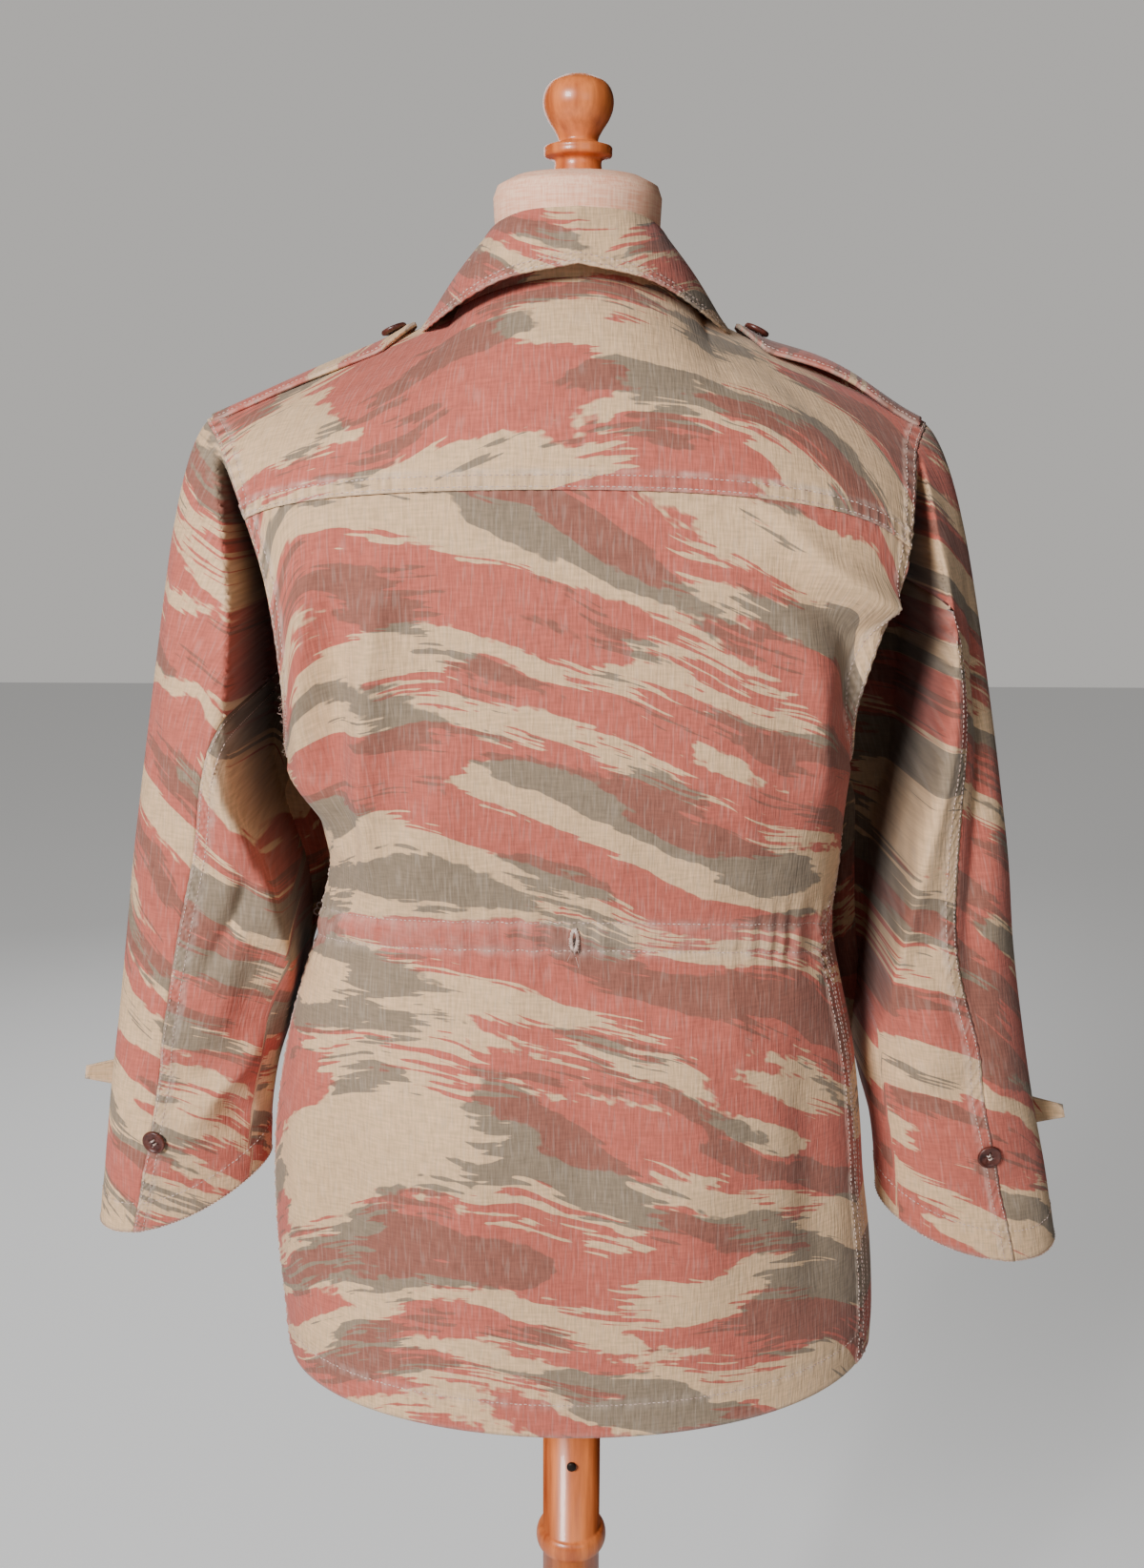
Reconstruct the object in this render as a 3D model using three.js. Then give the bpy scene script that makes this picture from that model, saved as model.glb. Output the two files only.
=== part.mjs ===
// A men's field jacket on a limbless dress form with a turned wooden stand.
// Millimetres, +Z up. The form faces -Y and its left side is +X, so +Y is the jacket's back.
// The origin is the middle of the base's underside, on the floor.
import * as THREE from "three";

// Cloth and seams
const CLOTH = 1.5;
const STRAP = 2.2; // two layers, as in the shoulder straps and cuff tabs
const SEAM_GAP = 0.3;

// Heights on the jacket
const HEM_Z = 762;
const CHEST_Z = 1330; // where the fronts start to lean back to the shoulders
const YOKE_Z = 1377; // yoke seam at the centre back
const UNDERARM_Z = 1196;
const NECK_Z = 1483; // neck end of the shoulder seam

// Neck opening
const NECK_HALF = 77;
const NECK_SIDE_Y = 2;
const NECK_BACK = 58;
const NECK_FRONT = 90;
const NECK_BACK_RISE = 16;
const NECK_FRONT_DROP = 75;
const ARMHOLE_PULL = 1.5; // how far in a panel the armhole's cut is felt: less, the higher this is
const ARMHOLE_TURN = 0.6;
const NECK_SHARE = 0.36; // part of a panel's half width that the neck takes

// Body sections from the hem up: half widths to the wearer's left and right, depths behind and
// before, and the power of the superellipse that each one is.
const BODY = [
  { z: 762, left: 206, right: 218, back: 124, front: 128, power: 2.05 },
  { z: 800, left: 209, right: 218, back: 122, front: 130, power: 2.1 },
  { z: 850, left: 212, right: 214, back: 120, front: 132, power: 2.15 },
  { z: 900, left: 212, right: 207, back: 118, front: 132, power: 2.2 },
  { z: 941, left: 209, right: 203, back: 116, front: 131, power: 2.25 },
  { z: 999, left: 199, right: 195, back: 111, front: 130, power: 2.35 },
  { z: 1050, left: 185, right: 183, back: 103, front: 127, power: 2.5 },
  { z: 1083, left: 174, right: 176, back: 99, front: 124, power: 2.6 },
  { z: 1138, left: 180, right: 178, back: 108, front: 130, power: 2.85 },
  { z: 1196, left: 190, right: 182, back: 118, front: 139, power: 3 },
  { z: 1240, left: 196, right: 190, back: 122, front: 144, power: 3 },
  { z: 1300, left: 200, right: 195, back: 122, front: 146, power: 3 },
  { z: 1340, left: 205, right: 200, back: 119, front: 143, power: 2.9 },
  { z: 1390, left: 210, right: 205, back: 114, front: 136, power: 2.7 },
];

// How far each level of the back hangs lower at the sides than at its middle.
const DROOP = [
  { z: 762, left: 0, right: -9 },
  { z: 1000, left: 10, right: 10 },
  { z: 1100, left: 18, right: 18 },
  { z: 1250, left: 9, right: 9 },
  { z: 1377, left: 20, right: 36 },
];

// The armhole, one row for each fourteenth of a turn: shoulder tip, back, underarm, front.
const ARMHOLE = [
  { left: 236, right: 223, y: 6, z: 1416 },
  { left: 222, right: 212, y: 38, z: 1399 },
  { left: 205, right: 203, y: 66, z: 1366 },
  { left: 190, right: 190, y: 81, z: 1325 },
  { left: 183, right: 179, y: 85, z: 1282 },
  { left: 182, right: 175, y: 72, z: 1238 },
  { left: 187, right: 179, y: 40, z: 1206 },
  { left: 190, right: 182, y: 0, z: 1196 },
  { left: 187, right: 179, y: -40, z: 1204 },
  { left: 181, right: 174, y: -74, z: 1234 },
  { left: 177, right: 170, y: -92, z: 1278 },
  { left: 182, right: 177, y: -90, z: 1322 },
  { left: 200, right: 195, y: -70, z: 1364 },
  { left: 221, right: 210, y: -34, z: 1399 },
];

// The side seams lie a little behind the widest line, more on the wearer's right.
const SIDE_SEAM_Y = { left: 10, right: 44 };

// Sleeve rings from the armpit to the cuff, as seen from behind: heights and distances from the
// middle of the outer and inner edges, the ring's middle and half depth from front to back, and how
// far its back hangs lower than its front.
const SLEEVE = {
  left: [
    { s: 0.0, outerZ: 1190, innerZ: 1146, outer: 289, inner: 193, y: 2, depth: 60, dip: 0 },
    { s: 0.18, outerZ: 1130, innerZ: 1100, outer: 300, inner: 184, y: 1, depth: 56, dip: 0 },
    { s: 0.36, outerZ: 1072, innerZ: 1048, outer: 309, inner: 189, y: 0, depth: 52, dip: 0 },
    { s: 0.54, outerZ: 1013, innerZ: 1003, outer: 319, inner: 202, y: -4, depth: 48, dip: 0 },
    { s: 0.7, outerZ: 960, innerZ: 966, outer: 329, inner: 212, y: -8, depth: 44, dip: 0 },
    { s: 0.85, outerZ: 905, innerZ: 932, outer: 338, inner: 218, y: -12, depth: 40, dip: 2 },
    { s: 1.0, outerZ: 848, innerZ: 897, outer: 347, inner: 221, y: -16, depth: 36, dip: 4 },
  ],
  right: [
    { s: 0.0, outerZ: 1190, innerZ: 1146, outer: 284, inner: 184, y: 2, depth: 60, dip: 0 },
    { s: 0.18, outerZ: 1130, innerZ: 1098, outer: 295, inner: 184, y: 1, depth: 56, dip: 0 },
    { s: 0.36, outerZ: 1070, innerZ: 1045, outer: 303, inner: 188, y: 0, depth: 52, dip: 0 },
    { s: 0.54, outerZ: 1008, innerZ: 998, outer: 315, inner: 200, y: -4, depth: 48, dip: 0 },
    { s: 0.7, outerZ: 950, innerZ: 955, outer: 328, inner: 209, y: -8, depth: 44, dip: 2 },
    { s: 0.85, outerZ: 892, innerZ: 916, outer: 343, inner: 217, y: -12, depth: 40, dip: 6 },
    { s: 1.0, outerZ: 838, innerZ: 870, outer: 355, inner: 223, y: -16, depth: 37, dip: 12 },
  ],
};
const CAP_SHARE = 0.36; // part of a sleeve's length above its first ring
const CAP_SPREAD = 0.85; // how far the cap leaves the armhole outwards rather than down
const CAP_SPREAD_INNER = 0.17;
const CAP_FULLNESS = 0.45; // how strongly its outer edge does so
const CUFF_SLANT = 1.7; // how late a ring's height changes from its outer edge to its inner one
const SLEEVE_POWER = 2.15;

// Where the seams run round a sleeve, in turns from its outer edge through the back.
const SLEEVE_SEAMS = [
  { s: 0.0, back: 0.3, front: 0.66 },
  { s: 0.36, back: 0.27, front: 0.66 },
  { s: 0.7, back: 0.2, front: 0.67 },
  { s: 1.0, back: 0.155, front: 0.68 },
];

// Large folds, as seen from behind: a ridge (height above 0) or trough along a line.
const BACK_FOLDS = [
  { x0: 124, z0: 1310, x1: 136, z1: 1120, width: 17, height: 5 },
  { x0: 172, z0: 1290, x1: 162, z1: 1140, width: 15, height: 4 },
  { x0: 150, z0: 1300, x1: 149, z1: 1130, width: 13, height: -4 },
  { x0: -126, z0: 1362, x1: -156, z1: 1306, width: 16, height: -4.5 },
  { x0: -150, z0: 1300, x1: -138, z1: 1125, width: 18, height: 4 },
  { x0: 60, z0: 1060, x1: 74, z1: 800, width: 26, height: 3 },
  { x0: -70, z0: 1060, x1: -84, z1: 790, width: 28, height: 3 },
  { x0: -160, z0: 1040, x1: -176, z1: 800, width: 18, height: -4 },
  { x0: 150, z0: 1040, x1: 168, z1: 800, width: 18, height: -3.5 },
];
const FRONT_FOLDS = [
  { x0: 120, z0: 1300, x1: 96, z1: 1130, width: 16, height: 4 },
  { x0: -118, z0: 1300, x1: -100, z1: 1130, width: 16, height: 4 },
  { x0: 110, z0: 1060, x1: 128, z1: 790, width: 26, height: 4 },
  { x0: -112, z0: 1060, x1: -126, z1: 790, width: 26, height: 4 },
  { x0: 168, z0: 1040, x1: 178, z1: 800, width: 16, height: -3.5 },
  { x0: -168, z0: 1040, x1: -182, z1: 800, width: 16, height: -3.5 },
];

// Waist drawcord channel: the cloth gathers on it in soft waves.
const WAIST_Z = 1100;
const WAIST_REACH = 22;
const GATHER_DEPTH = 1.5;
const GATHERS = 12; // waves in a whole turn

// Sleeve folds: along a sleeve (s) and round it (turn).
const SLEEVE_FOLDS = {
  left: [
    { s0: 0.3, turn0: 0.33, s1: 0.62, turn1: 0.36, width: 0.05, height: -6 },
    { s0: 0.58, turn0: 0.22, s1: 0.75, turn1: 0.29, width: 0.05, height: -4 },
    { s0: 0.66, turn0: 0.31, s1: 0.86, turn1: 0.24, width: 0.05, height: 4 },
    { s0: 0.3, turn0: 0.8, s1: 0.6, turn1: 0.72, width: 0.05, height: -4 },
  ],
  right: [
    { s0: 0.2, turn0: 0.24, s1: 0.66, turn1: 0.31, width: 0.05, height: 6 },
    { s0: 0.24, turn0: 0.33, s1: 0.62, turn1: 0.38, width: 0.05, height: -7 },
    { s0: 0.58, turn0: 0.25, s1: 0.74, turn1: 0.22, width: 0.05, height: -4 },
    { s0: 0.3, turn0: 0.8, s1: 0.6, turn1: 0.73, width: 0.05, height: -4 },
  ],
};

// The collar from the centre back (0 degrees) to its front end: its fold and its outer edge.
const COLLAR = [
  { at: 0, foldX: 0, foldY: 60, foldZ: 1539, edgeX: 0, edgeY: 80, edgeZ: 1508 },
  { at: 35, foldX: 33, foldY: 51, foldZ: 1537, edgeX: 48, edgeY: 72, edgeZ: 1504 },
  { at: 75, foldX: 55, foldY: 20, foldZ: 1529, edgeX: 93, edgeY: 30, edgeZ: 1482 },
  { at: 105, foldX: 57, foldY: -14, foldZ: 1517, edgeX: 101, edgeY: -22, edgeZ: 1473 },
  { at: 140, foldX: 42, foldY: -58, foldZ: 1485, edgeX: 88, edgeY: -90, edgeZ: 1443 },
  { at: 170, foldX: 16, foldY: -84, foldZ: 1450, edgeX: 60, edgeY: -126, edgeZ: 1398 },
];
const COLLAR_END = 150;
const COLLAR_RIGHT = 0.97; // the collar sits a little to the wearer's left
const FOLD_HALF = 1.8;

// Fronts
const LAP_SHARE = 0.09; // how far each front passes the centre, as a part of its half width
const LAP_DEPTH = 3.2; // how far the right front lies under the left one
const LAP_FLAT = 36; // no gathers nearer to the centre front than this
const FRONT_BUTTON_LEVELS = [1322, 1225, 1140, 1050, 955, 860];

// Buttons
const BUTTON_R = 8.5;
const BUTTON_H = 3;

// Shoulder straps
const STRAP_START = 4; // from the armhole
const STRAP_END_X = { left: 101, right: 99 };
const STRAP_SHARE = 0.17; // half width, as a part of the yoke's depth
const STRAP_REST = 0.6;
const STRAP_BOW = { left: 1, right: 7 };
const TIP_LIFT = 3;
const STRAP_BUTTON_SHARE = 0.9;

// Felled seams
const FELL = 0.9;
const FELL_EDGE = 0.952; // where a side seam's strip ends, as a part of the back's half width
const FELL_WIDTH_SHARE = 0.07; // a sleeve seam's strip, as a part of the under sleeve's width
const FELL_TURN = 0.018; // half a sleeve seam's width, in turns

// Cuffs
const CUFF_BUTTON_ALONG = { left: 0.87, right: 0.86 };
const TAB = {
  left: { along: 0.825, tipX: 357, tipY: -30, tipZ: 953 },
  right: { along: 0.855, tipX: 361, tipY: -30, tipZ: 926 },
};
const TAB_HALF = 11;
const TAB_REST = 1.3;
const TAB_ALONG = 0.02; // the same half width, along the sleeve
const TAB_TURNS = [-0.26, -0.22, -0.18, -0.14, -0.1];

// Dress form sections, from its flat bottom to the cap on its neck
const FORM = [
  { z: 800, half: 160, back: 96, front: 104, power: 2.2 },
  { z: 860, half: 165, back: 98, front: 106, power: 2.2 },
  { z: 940, half: 160, back: 92, front: 103, power: 2.2 },
  { z: 1080, half: 136, back: 74, front: 94, power: 2.2 },
  { z: 1200, half: 155, back: 96, front: 116, power: 2.2 },
  { z: 1300, half: 168, back: 104, front: 126, power: 2.2 },
  { z: 1360, half: 180, back: 96, front: 112, power: 2.1 },
  { z: 1395, half: 186, back: 84, front: 92, power: 1.9 },
  { z: 1418.4, half: 182, back: 77, front: 70, power: 1.75 },
  { z: 1436.4, half: 166, back: 71, front: 58, power: 1.6 },
  { z: 1452.4, half: 138, back: 64, front: 46, power: 1.55 },
  { z: 1466.4, half: 103, back: 57, front: 42, power: 1.6 },
  { z: 1480, half: 69, back: 51, front: 42, power: 1.8 },
  { z: 1500, half: 52.5, back: 49, front: 46, power: 2 },
  { z: 1530, half: 51.5, back: 49.5, front: 49.5, power: 2 },
  { z: 1551, half: 52.5, back: 50, front: 50, power: 2 },
  { z: 1558, half: 50, back: 47.5, front: 47.5, power: 2 },
  { z: 1563, half: 40, back: 38, front: 38, power: 2 },
];
const CAP_TOP_Z = 1566;
const FORM_Y = 2;
const FORM_LEFT = 1.006; // its left half is a little fuller

// Turned wood: radius and height pairs of each profile
const FINIAL = [
  { r: 15.5, z: 0 },
  { r: 14.5, z: 5 },
  { r: 15.5, z: 8 },
  { r: 20.5, z: 9.5 },
  { r: 21.2, z: 12.5 },
  { r: 20.5, z: 15.5 },
  { r: 13.5, z: 17.5 },
  { r: 12.5, z: 20 },
  { r: 15, z: 25 },
  { r: 19.5, z: 32 },
  { r: 21.8, z: 39 },
  { r: 21.2, z: 46 },
  { r: 17.5, z: 52 },
  { r: 10, z: 56 },
];
const FINIAL_H = 57;
const POLE_R = 21.5;
const POLE_BEAD_Z = 590;
const POLE_BEAD_R = 26.5;
const POLE_BEAD_HALF = 9;
const BASE_R = 190;
const BASE_H = 28;
const SCREW_Z = 664;
const SCREW_R = 3.5;
const SCREW_H = 2.5;

// How finely each piece is divided
const NECK_COLUMNS = 6; // in a quarter of the neck
const BACK_COLUMNS = 7; // from the neck to the side seam's strip
const FRONT_COLUMNS = 6;
const UNDERARM_ROWS = [4, 13, 30]; // just above the underarm, where the armholes turn
const BACK_ROWS = 6;
const YOKE_ROWS = 6;
const FRONT_ROWS = 4;
const CHEST_ROWS = 6;
const CAP_ROWS = 7;
const SLEEVE_ROWS = 12;
const FORM_COLUMNS = 28;

const MATERIALS = {
  cloth: { color: 0xb9a283, roughness: 0.92 },
  button: { color: 0x4a2420, roughness: 0.35 },
  linen: { color: 0xcfae93, roughness: 0.9 },
  wood: { color: 0xa4602f, roughness: 0.38 },
  steel: { color: 0x2c2521, roughness: 0.5, metalness: 0.8 },
};

const part = new THREE.Group();

function addPiece(name, geometry, finish) {
  const mesh = new THREE.Mesh(geometry, new THREE.MeshStandardMaterial(MATERIALS[finish]));
  mesh.name = name;
  part.add(mesh);
  return mesh;
}

// Tables and curves

function hermite(p, q, slopeP, slopeQ, t) {
  const t2 = t * t;
  const t3 = t2 * t;
  return (
    p * (2 * t3 - 3 * t2 + 1) + slopeP * (t3 - 2 * t2 + t) + q * (3 * t2 - 2 * t3) + slopeQ * (t3 - t2)
  );
}

// A smooth value from one column of a table whose rows are sorted by their key column.
function column(table, key, name, at) {
  const last = table.length - 1;
  const value = THREE.MathUtils.clamp(at, table[0][key], table[last][key]);
  let i = 0;
  while (i < last - 1 && table[i + 1][key] < value) i += 1;
  const slope = (j) => {
    const before = table[Math.max(j - 1, 0)];
    const after = table[Math.min(j + 1, last)];
    return (after[name] - before[name]) / (after[key] - before[key]);
  };
  const span = table[i + 1][key] - table[i][key];
  const t = (value - table[i][key]) / span;
  return hermite(table[i][name], table[i + 1][name], slope(i) * span, slope(i + 1) * span, t);
}

const sideName = (side) => (side > 0 ? "left" : "right");
const smoothstep = THREE.MathUtils.smoothstep;

// Height of the folds at a point: each is highest at the middle of its line.
function foldHeight(folds, x, z, ends) {
  let height = 0;
  for (const fold of folds) {
    const [ax, az, bx, bz] = ends.map((name) => fold[name]);
    const dx = bx - ax;
    const dz = bz - az;
    const along = THREE.MathUtils.clamp(((x - ax) * dx + (z - az) * dz) / (dx * dx + dz * dz), 0, 1);
    const away = Math.hypot(x - ax - along * dx, z - az - along * dz) / fold.width;
    const taper = Math.sin(Math.PI * along);
    height += fold.height * taper * Math.exp(-away * away);
  }
  return height;
}

// Armholes: a closed curve on each side, from the shoulder tip through the back and underarm

const armholes = {};
for (const side of [1, -1]) {
  const points = ARMHOLE.map((row) => new THREE.Vector3(side * row[sideName(side)], row.y, row.z));
  armholes[side] = new THREE.CatmullRomCurve3(points, true, "catmullrom", 0.5);
}

// The turn at which the armhole's back (face 1) or front (face -1) edge passes a height.
function armholeTurn(side, face, z) {
  let high = face > 0 ? 0 : 1;
  let low = 0.5;
  for (let i = 0; i < 22; i += 1) {
    const middle = (high + low) / 2;
    if (armholes[side].getPoint(middle).z > z) high = middle;
    else low = middle;
  }
  return (high + low) / 2;
}

const armholeAt = (side, face, z) => armholes[side].getPoint(armholeTurn(side, face, z));

// The direction that the walls of both pieces share where they meet along the armhole.
function armholeNormal(side, point) {
  return new THREE.Vector3(point.x - side * 150, point.y, point.z - 1300).normalize();
}

// Body: a point at a height and an angle from the side (90 degrees behind, -90 degrees in front)

function bodyDepth(face, z) {
  return column(BODY, "z", face > 0 ? "back" : "front", z);
}

const bodyPower = (z) => column(BODY, "z", "power", z);

// Above the underarm a section is as wide as it needs to be to pass through the armhole's edge.
function halfWidth(side, face, z) {
  if (z <= UNDERARM_Z) return column(BODY, "z", sideName(side), z);
  const edge = armholeAt(side, face, z);
  const power = bodyPower(z);
  const share = Math.abs(edge.y) / bodyDepth(face, z);
  return Math.abs(edge.x) / (1 - share ** power) ** (1 / power);
}

// How far a superellipse reaches at an angle, where a circle reaches 1.
const roundness = (angle, power) =>
  (Math.abs(Math.cos(angle)) ** power + Math.abs(Math.sin(angle)) ** power) ** (-1 / power);

function bodyPoint(side, angle, z, level, reach) {
  const face = angle >= 0 ? 1 : -1;
  const c = Math.cos(angle);
  const s = Math.sin(angle);
  const round = roundness(angle, bodyPower(z));
  const x = side * halfWidth(side, face, z) * c * round;
  const y = bodyDepth(face, z) * s * round;
  const flat = face > 0 ? 1 : smoothstep(Math.abs(x), LAP_FLAT, 2 * LAP_FLAT);
  const near = flat * Math.exp(-(((level - WAIST_Z) / WAIST_REACH) ** 2));
  const around = side * (Math.PI / 2 - Math.abs(angle));
  const gather = near * GATHER_DEPTH * Math.sin(GATHERS * around + Math.sin(5 * around));
  const folds = foldHeight(face > 0 ? BACK_FOLDS : FRONT_FOLDS, x, z, ["x0", "z0", "x1", "z1"]);
  const out = (folds + gather) * smoothstep(1 - reach, 0, 0.16);
  return new THREE.Vector3(x + side * c * out, y + s * out, z);
}

// The angle of the side seam below the underarm.
function seamAngle(side, z) {
  const y = SIDE_SEAM_Y[sideName(side)] * smoothstep(UNDERARM_Z - z, 0, 110);
  return Math.asin(y / bodyDepth(1, z));
}

// How much further in a panel's edge lies above the underarm, where the armhole cuts it away.
function armholeCut(side, face, z) {
  if (z <= UNDERARM_Z) return 0;
  const edge = armholeAt(side, face, z);
  const depthShare = Math.abs(edge.y) / bodyDepth(face, z);
  return Math.atan2(depthShare, Math.abs(edge.x) / halfWidth(side, face, z));
}

// The same for the whole panel: its inner columns move over gradually, from below the underarm on.
function armholePull(side, face, z, reach) {
  const gradual = ARMHOLE_TURN * smoothstep(z, UNDERARM_Z - 110, UNDERARM_Z + 90);
  const edgeShare = smoothstep(reach, 0.6, 1);
  const pull = edgeShare > 0 ? THREE.MathUtils.lerp(gradual, armholeCut(side, face, z), edgeShare) : gradual;
  return pull * reach ** ARMHOLE_PULL;
}

// Across the back, u runs from -1 at the right edge to 1 at the left one.
function backAt(u, level) {
  const side = u >= 0 ? 1 : -1;
  const droop = column(DROOP, "z", sideName(side), level);
  const reach = Math.abs(u);
  const seam = reach * (Math.PI / 2 - seamAngle(side, level - droop));
  const angle = Math.PI / 2 - seam + armholePull(side, 1, level - droop, reach);
  return bodyPoint(side, angle, level - droop * reach ** 2.2, level, reach);
}

// Across a front, u runs from 0 at the centre to 1 at its edge, and below 0 in the lap.
function frontAt(side, u, level) {
  const droop = column(DROOP, "z", sideName(side), Math.min(level, UNDERARM_LEVEL));
  const reach = Math.max(u, 0);
  const seam = u * (Math.PI / 2 + seamAngle(side, level - droop));
  const angle = -Math.PI / 2 + seam - armholePull(side, -1, level - droop, reach);
  return bodyPoint(side, angle, level - droop * reach ** 2.2, level, reach);
}

// The level of the back that reaches the underarm at its sides.
function underarmLevel() {
  let level = UNDERARM_Z;
  for (let i = 0; i < 20; i += 1) level = UNDERARM_Z + column(DROOP, "z", "left", level);
  return level;
}

const UNDERARM_LEVEL = underarmLevel();

// The neck seam: 0 degrees at the centre back, 90 at the shoulder seam, 180 at the centre front.
function neckPoint(side, degrees) {
  const turn = THREE.MathUtils.degToRad(degrees);
  const c = Math.cos(turn);
  const rise = c > 0 ? NECK_BACK_RISE * c * c : -NECK_FRONT_DROP * (-c) ** 1.5;
  const y = NECK_SIDE_Y + (c > 0 ? NECK_BACK : NECK_FRONT) * c;
  return new THREE.Vector3(side * NECK_HALF * Math.sin(turn), y, NECK_Z + rise);
}

function neckNormal(side, degrees) {
  const turn = THREE.MathUtils.degToRad(degrees);
  return new THREE.Vector3(side * Math.sin(turn), Math.cos(turn), 1).normalize();
}

// The upper edge of the yoke (face 1) or of a front (face -1): the neck, then the shoulder seam.
function topEdge(side, face, u) {
  if (u < NECK_SHARE) {
    const quarter = 90 * (u / NECK_SHARE);
    return neckPoint(side, face > 0 ? quarter : 180 - quarter);
  }
  const start = neckPoint(side, 90);
  const tip = armholes[side].getPoint(0);
  return start.lerp(tip, (u - NECK_SHARE) / (1 - NECK_SHARE));
}

function topNormal(side, face, u) {
  if (u > 0.999) return armholeNormal(side, topEdge(side, face, 1));
  if (u < NECK_SHARE) {
    const quarter = 90 * (u / NECK_SHARE);
    return neckNormal(side, face > 0 ? quarter : 180 - quarter);
  }
  return new THREE.Vector3(side * 0.43, 0, 1).normalize();
}

// A curve from a body level up to the top edge, leaving as the body does and arriving level.
function shoulderCurve(side, face, u, start, below, t) {
  const end = topEdge(side, face, u);
  const length = start.distanceTo(end);
  const rise = start.clone().sub(below).normalize().multiplyScalar(length);
  const steep = Math.max(0, 1 - Math.abs(u) / NECK_SHARE);
  const lean = new THREE.Vector3(0, -face, 0.25 + 0.55 * steep).normalize().multiplyScalar(length);
  return new THREE.Vector3(
    hermite(start.x, end.x, rise.x, lean.x, t),
    hermite(start.y, end.y, rise.y, lean.y, t),
    hermite(start.z, end.z, rise.z, lean.z, t),
  );
}

// The turn at which a shoulder curve's row ends on the armhole.
function shoulderTurn(side, face, t) {
  const start = face > 0 ? backAt(side, YOKE_Z) : frontAt(side, 1, CHEST_Z);
  const turn = armholeTurn(side, face, start.z);
  return THREE.MathUtils.lerp(turn, face > 0 ? 0 : 1, t);
}

// The same curve, drawn over to the armhole near the panel's side edge.
function overShoulder(side, face, u, levelAt, level, t) {
  const curve = (at) => shoulderCurve(side, face, at, levelAt(at, level), levelAt(at, level - 4), t);
  const point = curve(u);
  const near = smoothstep(u, 0.55, 1);
  if (near === 0) return point;
  const edge = armholes[side].getPoint(shoulderTurn(side, face, t));
  return point.addScaledVector(edge.sub(curve(1)), near);
}

function yokeAt(u, t) {
  const side = u >= 0 ? 1 : -1;
  return overShoulder(side, 1, Math.abs(u), (at, level) => backAt(side * at, level), YOKE_Z, t);
}

function chestAt(side, u, t) {
  return overShoulder(side, -1, u, (at, level) => frontAt(side, at, level), CHEST_Z, t);
}

// Sleeves: turn runs round a sleeve from its outer edge (0) through the back (0.25) to the inner
// edge (0.5); along runs from the armhole (0) to the cuff (1).

function sleeveRing(side, s, turn) {
  const value = (name) => column(SLEEVE[sideName(side)], "s", name, s);
  const angle = 2 * Math.PI * turn;
  const round = roundness(angle, SLEEVE_POWER);
  const across = Math.cos(angle) * round;
  const mix = (outer, inner) => (outer + inner) / 2 + ((outer - inner) / 2) * across;
  const height = foldHeight(SLEEVE_FOLDS[sideName(side)], s, turn, ["s0", "turn0", "s1", "turn1"]);
  const x = mix(value("outer"), value("inner")) + height * Math.cos(angle);
  const y = value("y") + value("depth") * Math.sin(angle) * round + height * Math.sin(angle);
  const slant = ((1 - across) / 2) ** CUFF_SLANT;
  const z = THREE.MathUtils.lerp(value("outerZ"), value("innerZ"), slant) - value("dip") * Math.sin(angle);
  return new THREE.Vector3(side * x, y, z);
}

// Where the sleeve starts: just outside the body's edge, square to the seam.
function sleeveStart(side, turn) {
  const loop = armholes[side];
  const point = loop.getPoint(turn);
  const out = armholeNormal(side, point).cross(loop.getTangent(turn)).normalize();
  if (out.x * side < 0) out.negate();
  return { point: point.addScaledVector(out, SEAM_GAP), out };
}

// The cap, from the armhole down to the first ring.
function sleeveCap(side, turn, t) {
  const { point, out } = sleeveStart(side, turn);
  const end = sleeveRing(side, 0, turn);
  const length = point.distanceTo(end);
  const inner = (1 - Math.cos(2 * Math.PI * turn)) / 2;
  const share = CAP_SPREAD * (1 - inner) + CAP_SPREAD_INNER * inner;
  const leave = out.multiplyScalar(share).add(new THREE.Vector3(0, 0, share - 1));
  leave.normalize().multiplyScalar(length * THREE.MathUtils.lerp(CAP_FULLNESS, 1, inner));
  const arrive = sleeveRing(side, 0.02, turn).sub(end).normalize().multiplyScalar(length);
  const mix = (axis) => hermite(point[axis], end[axis], leave[axis], arrive[axis], t);
  return new THREE.Vector3(mix("x"), mix("y"), mix("z"));
}

function sleeveAt(side, turn, along) {
  const whole = ((turn % 1) + 1) % 1;
  if (along < CAP_SHARE) return sleeveCap(side, whole, along / CAP_SHARE);
  return sleeveRing(side, (along - CAP_SHARE) / (1 - CAP_SHARE), whole);
}

const sleeveMiddle = (side, along) => sleeveAt(side, 0, along).lerp(sleeveAt(side, 0.5, along), 0.5);

function sleeveSeam(face, along) {
  const s = (along - CAP_SHARE) / (1 - CAP_SHARE);
  return column(SLEEVE_SEAMS, "s", face, s);
}

// Walls: a cloth piece is a grid of outer points and the outward direction at each

// The outward direction of a surface at (a, b), on the side that the hint points to.
function normalOf(at, a, b, stepA, stepB, hint) {
  const across = at(a + stepA, b).sub(at(a - stepA, b));
  const along = at(a, b + stepB).sub(at(a, b - stepB));
  const normal = across.cross(along).normalize();
  return normal.dot(hint) < 0 ? normal.negate() : normal;
}

// A panel's points and outward directions, row by row.
function panel(rows, columns, pointAt, normalAt) {
  return rows.map((b) => columns.map((a) => ({ point: pointAt(a, b), normal: normalAt(a, b) })));
}

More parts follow.
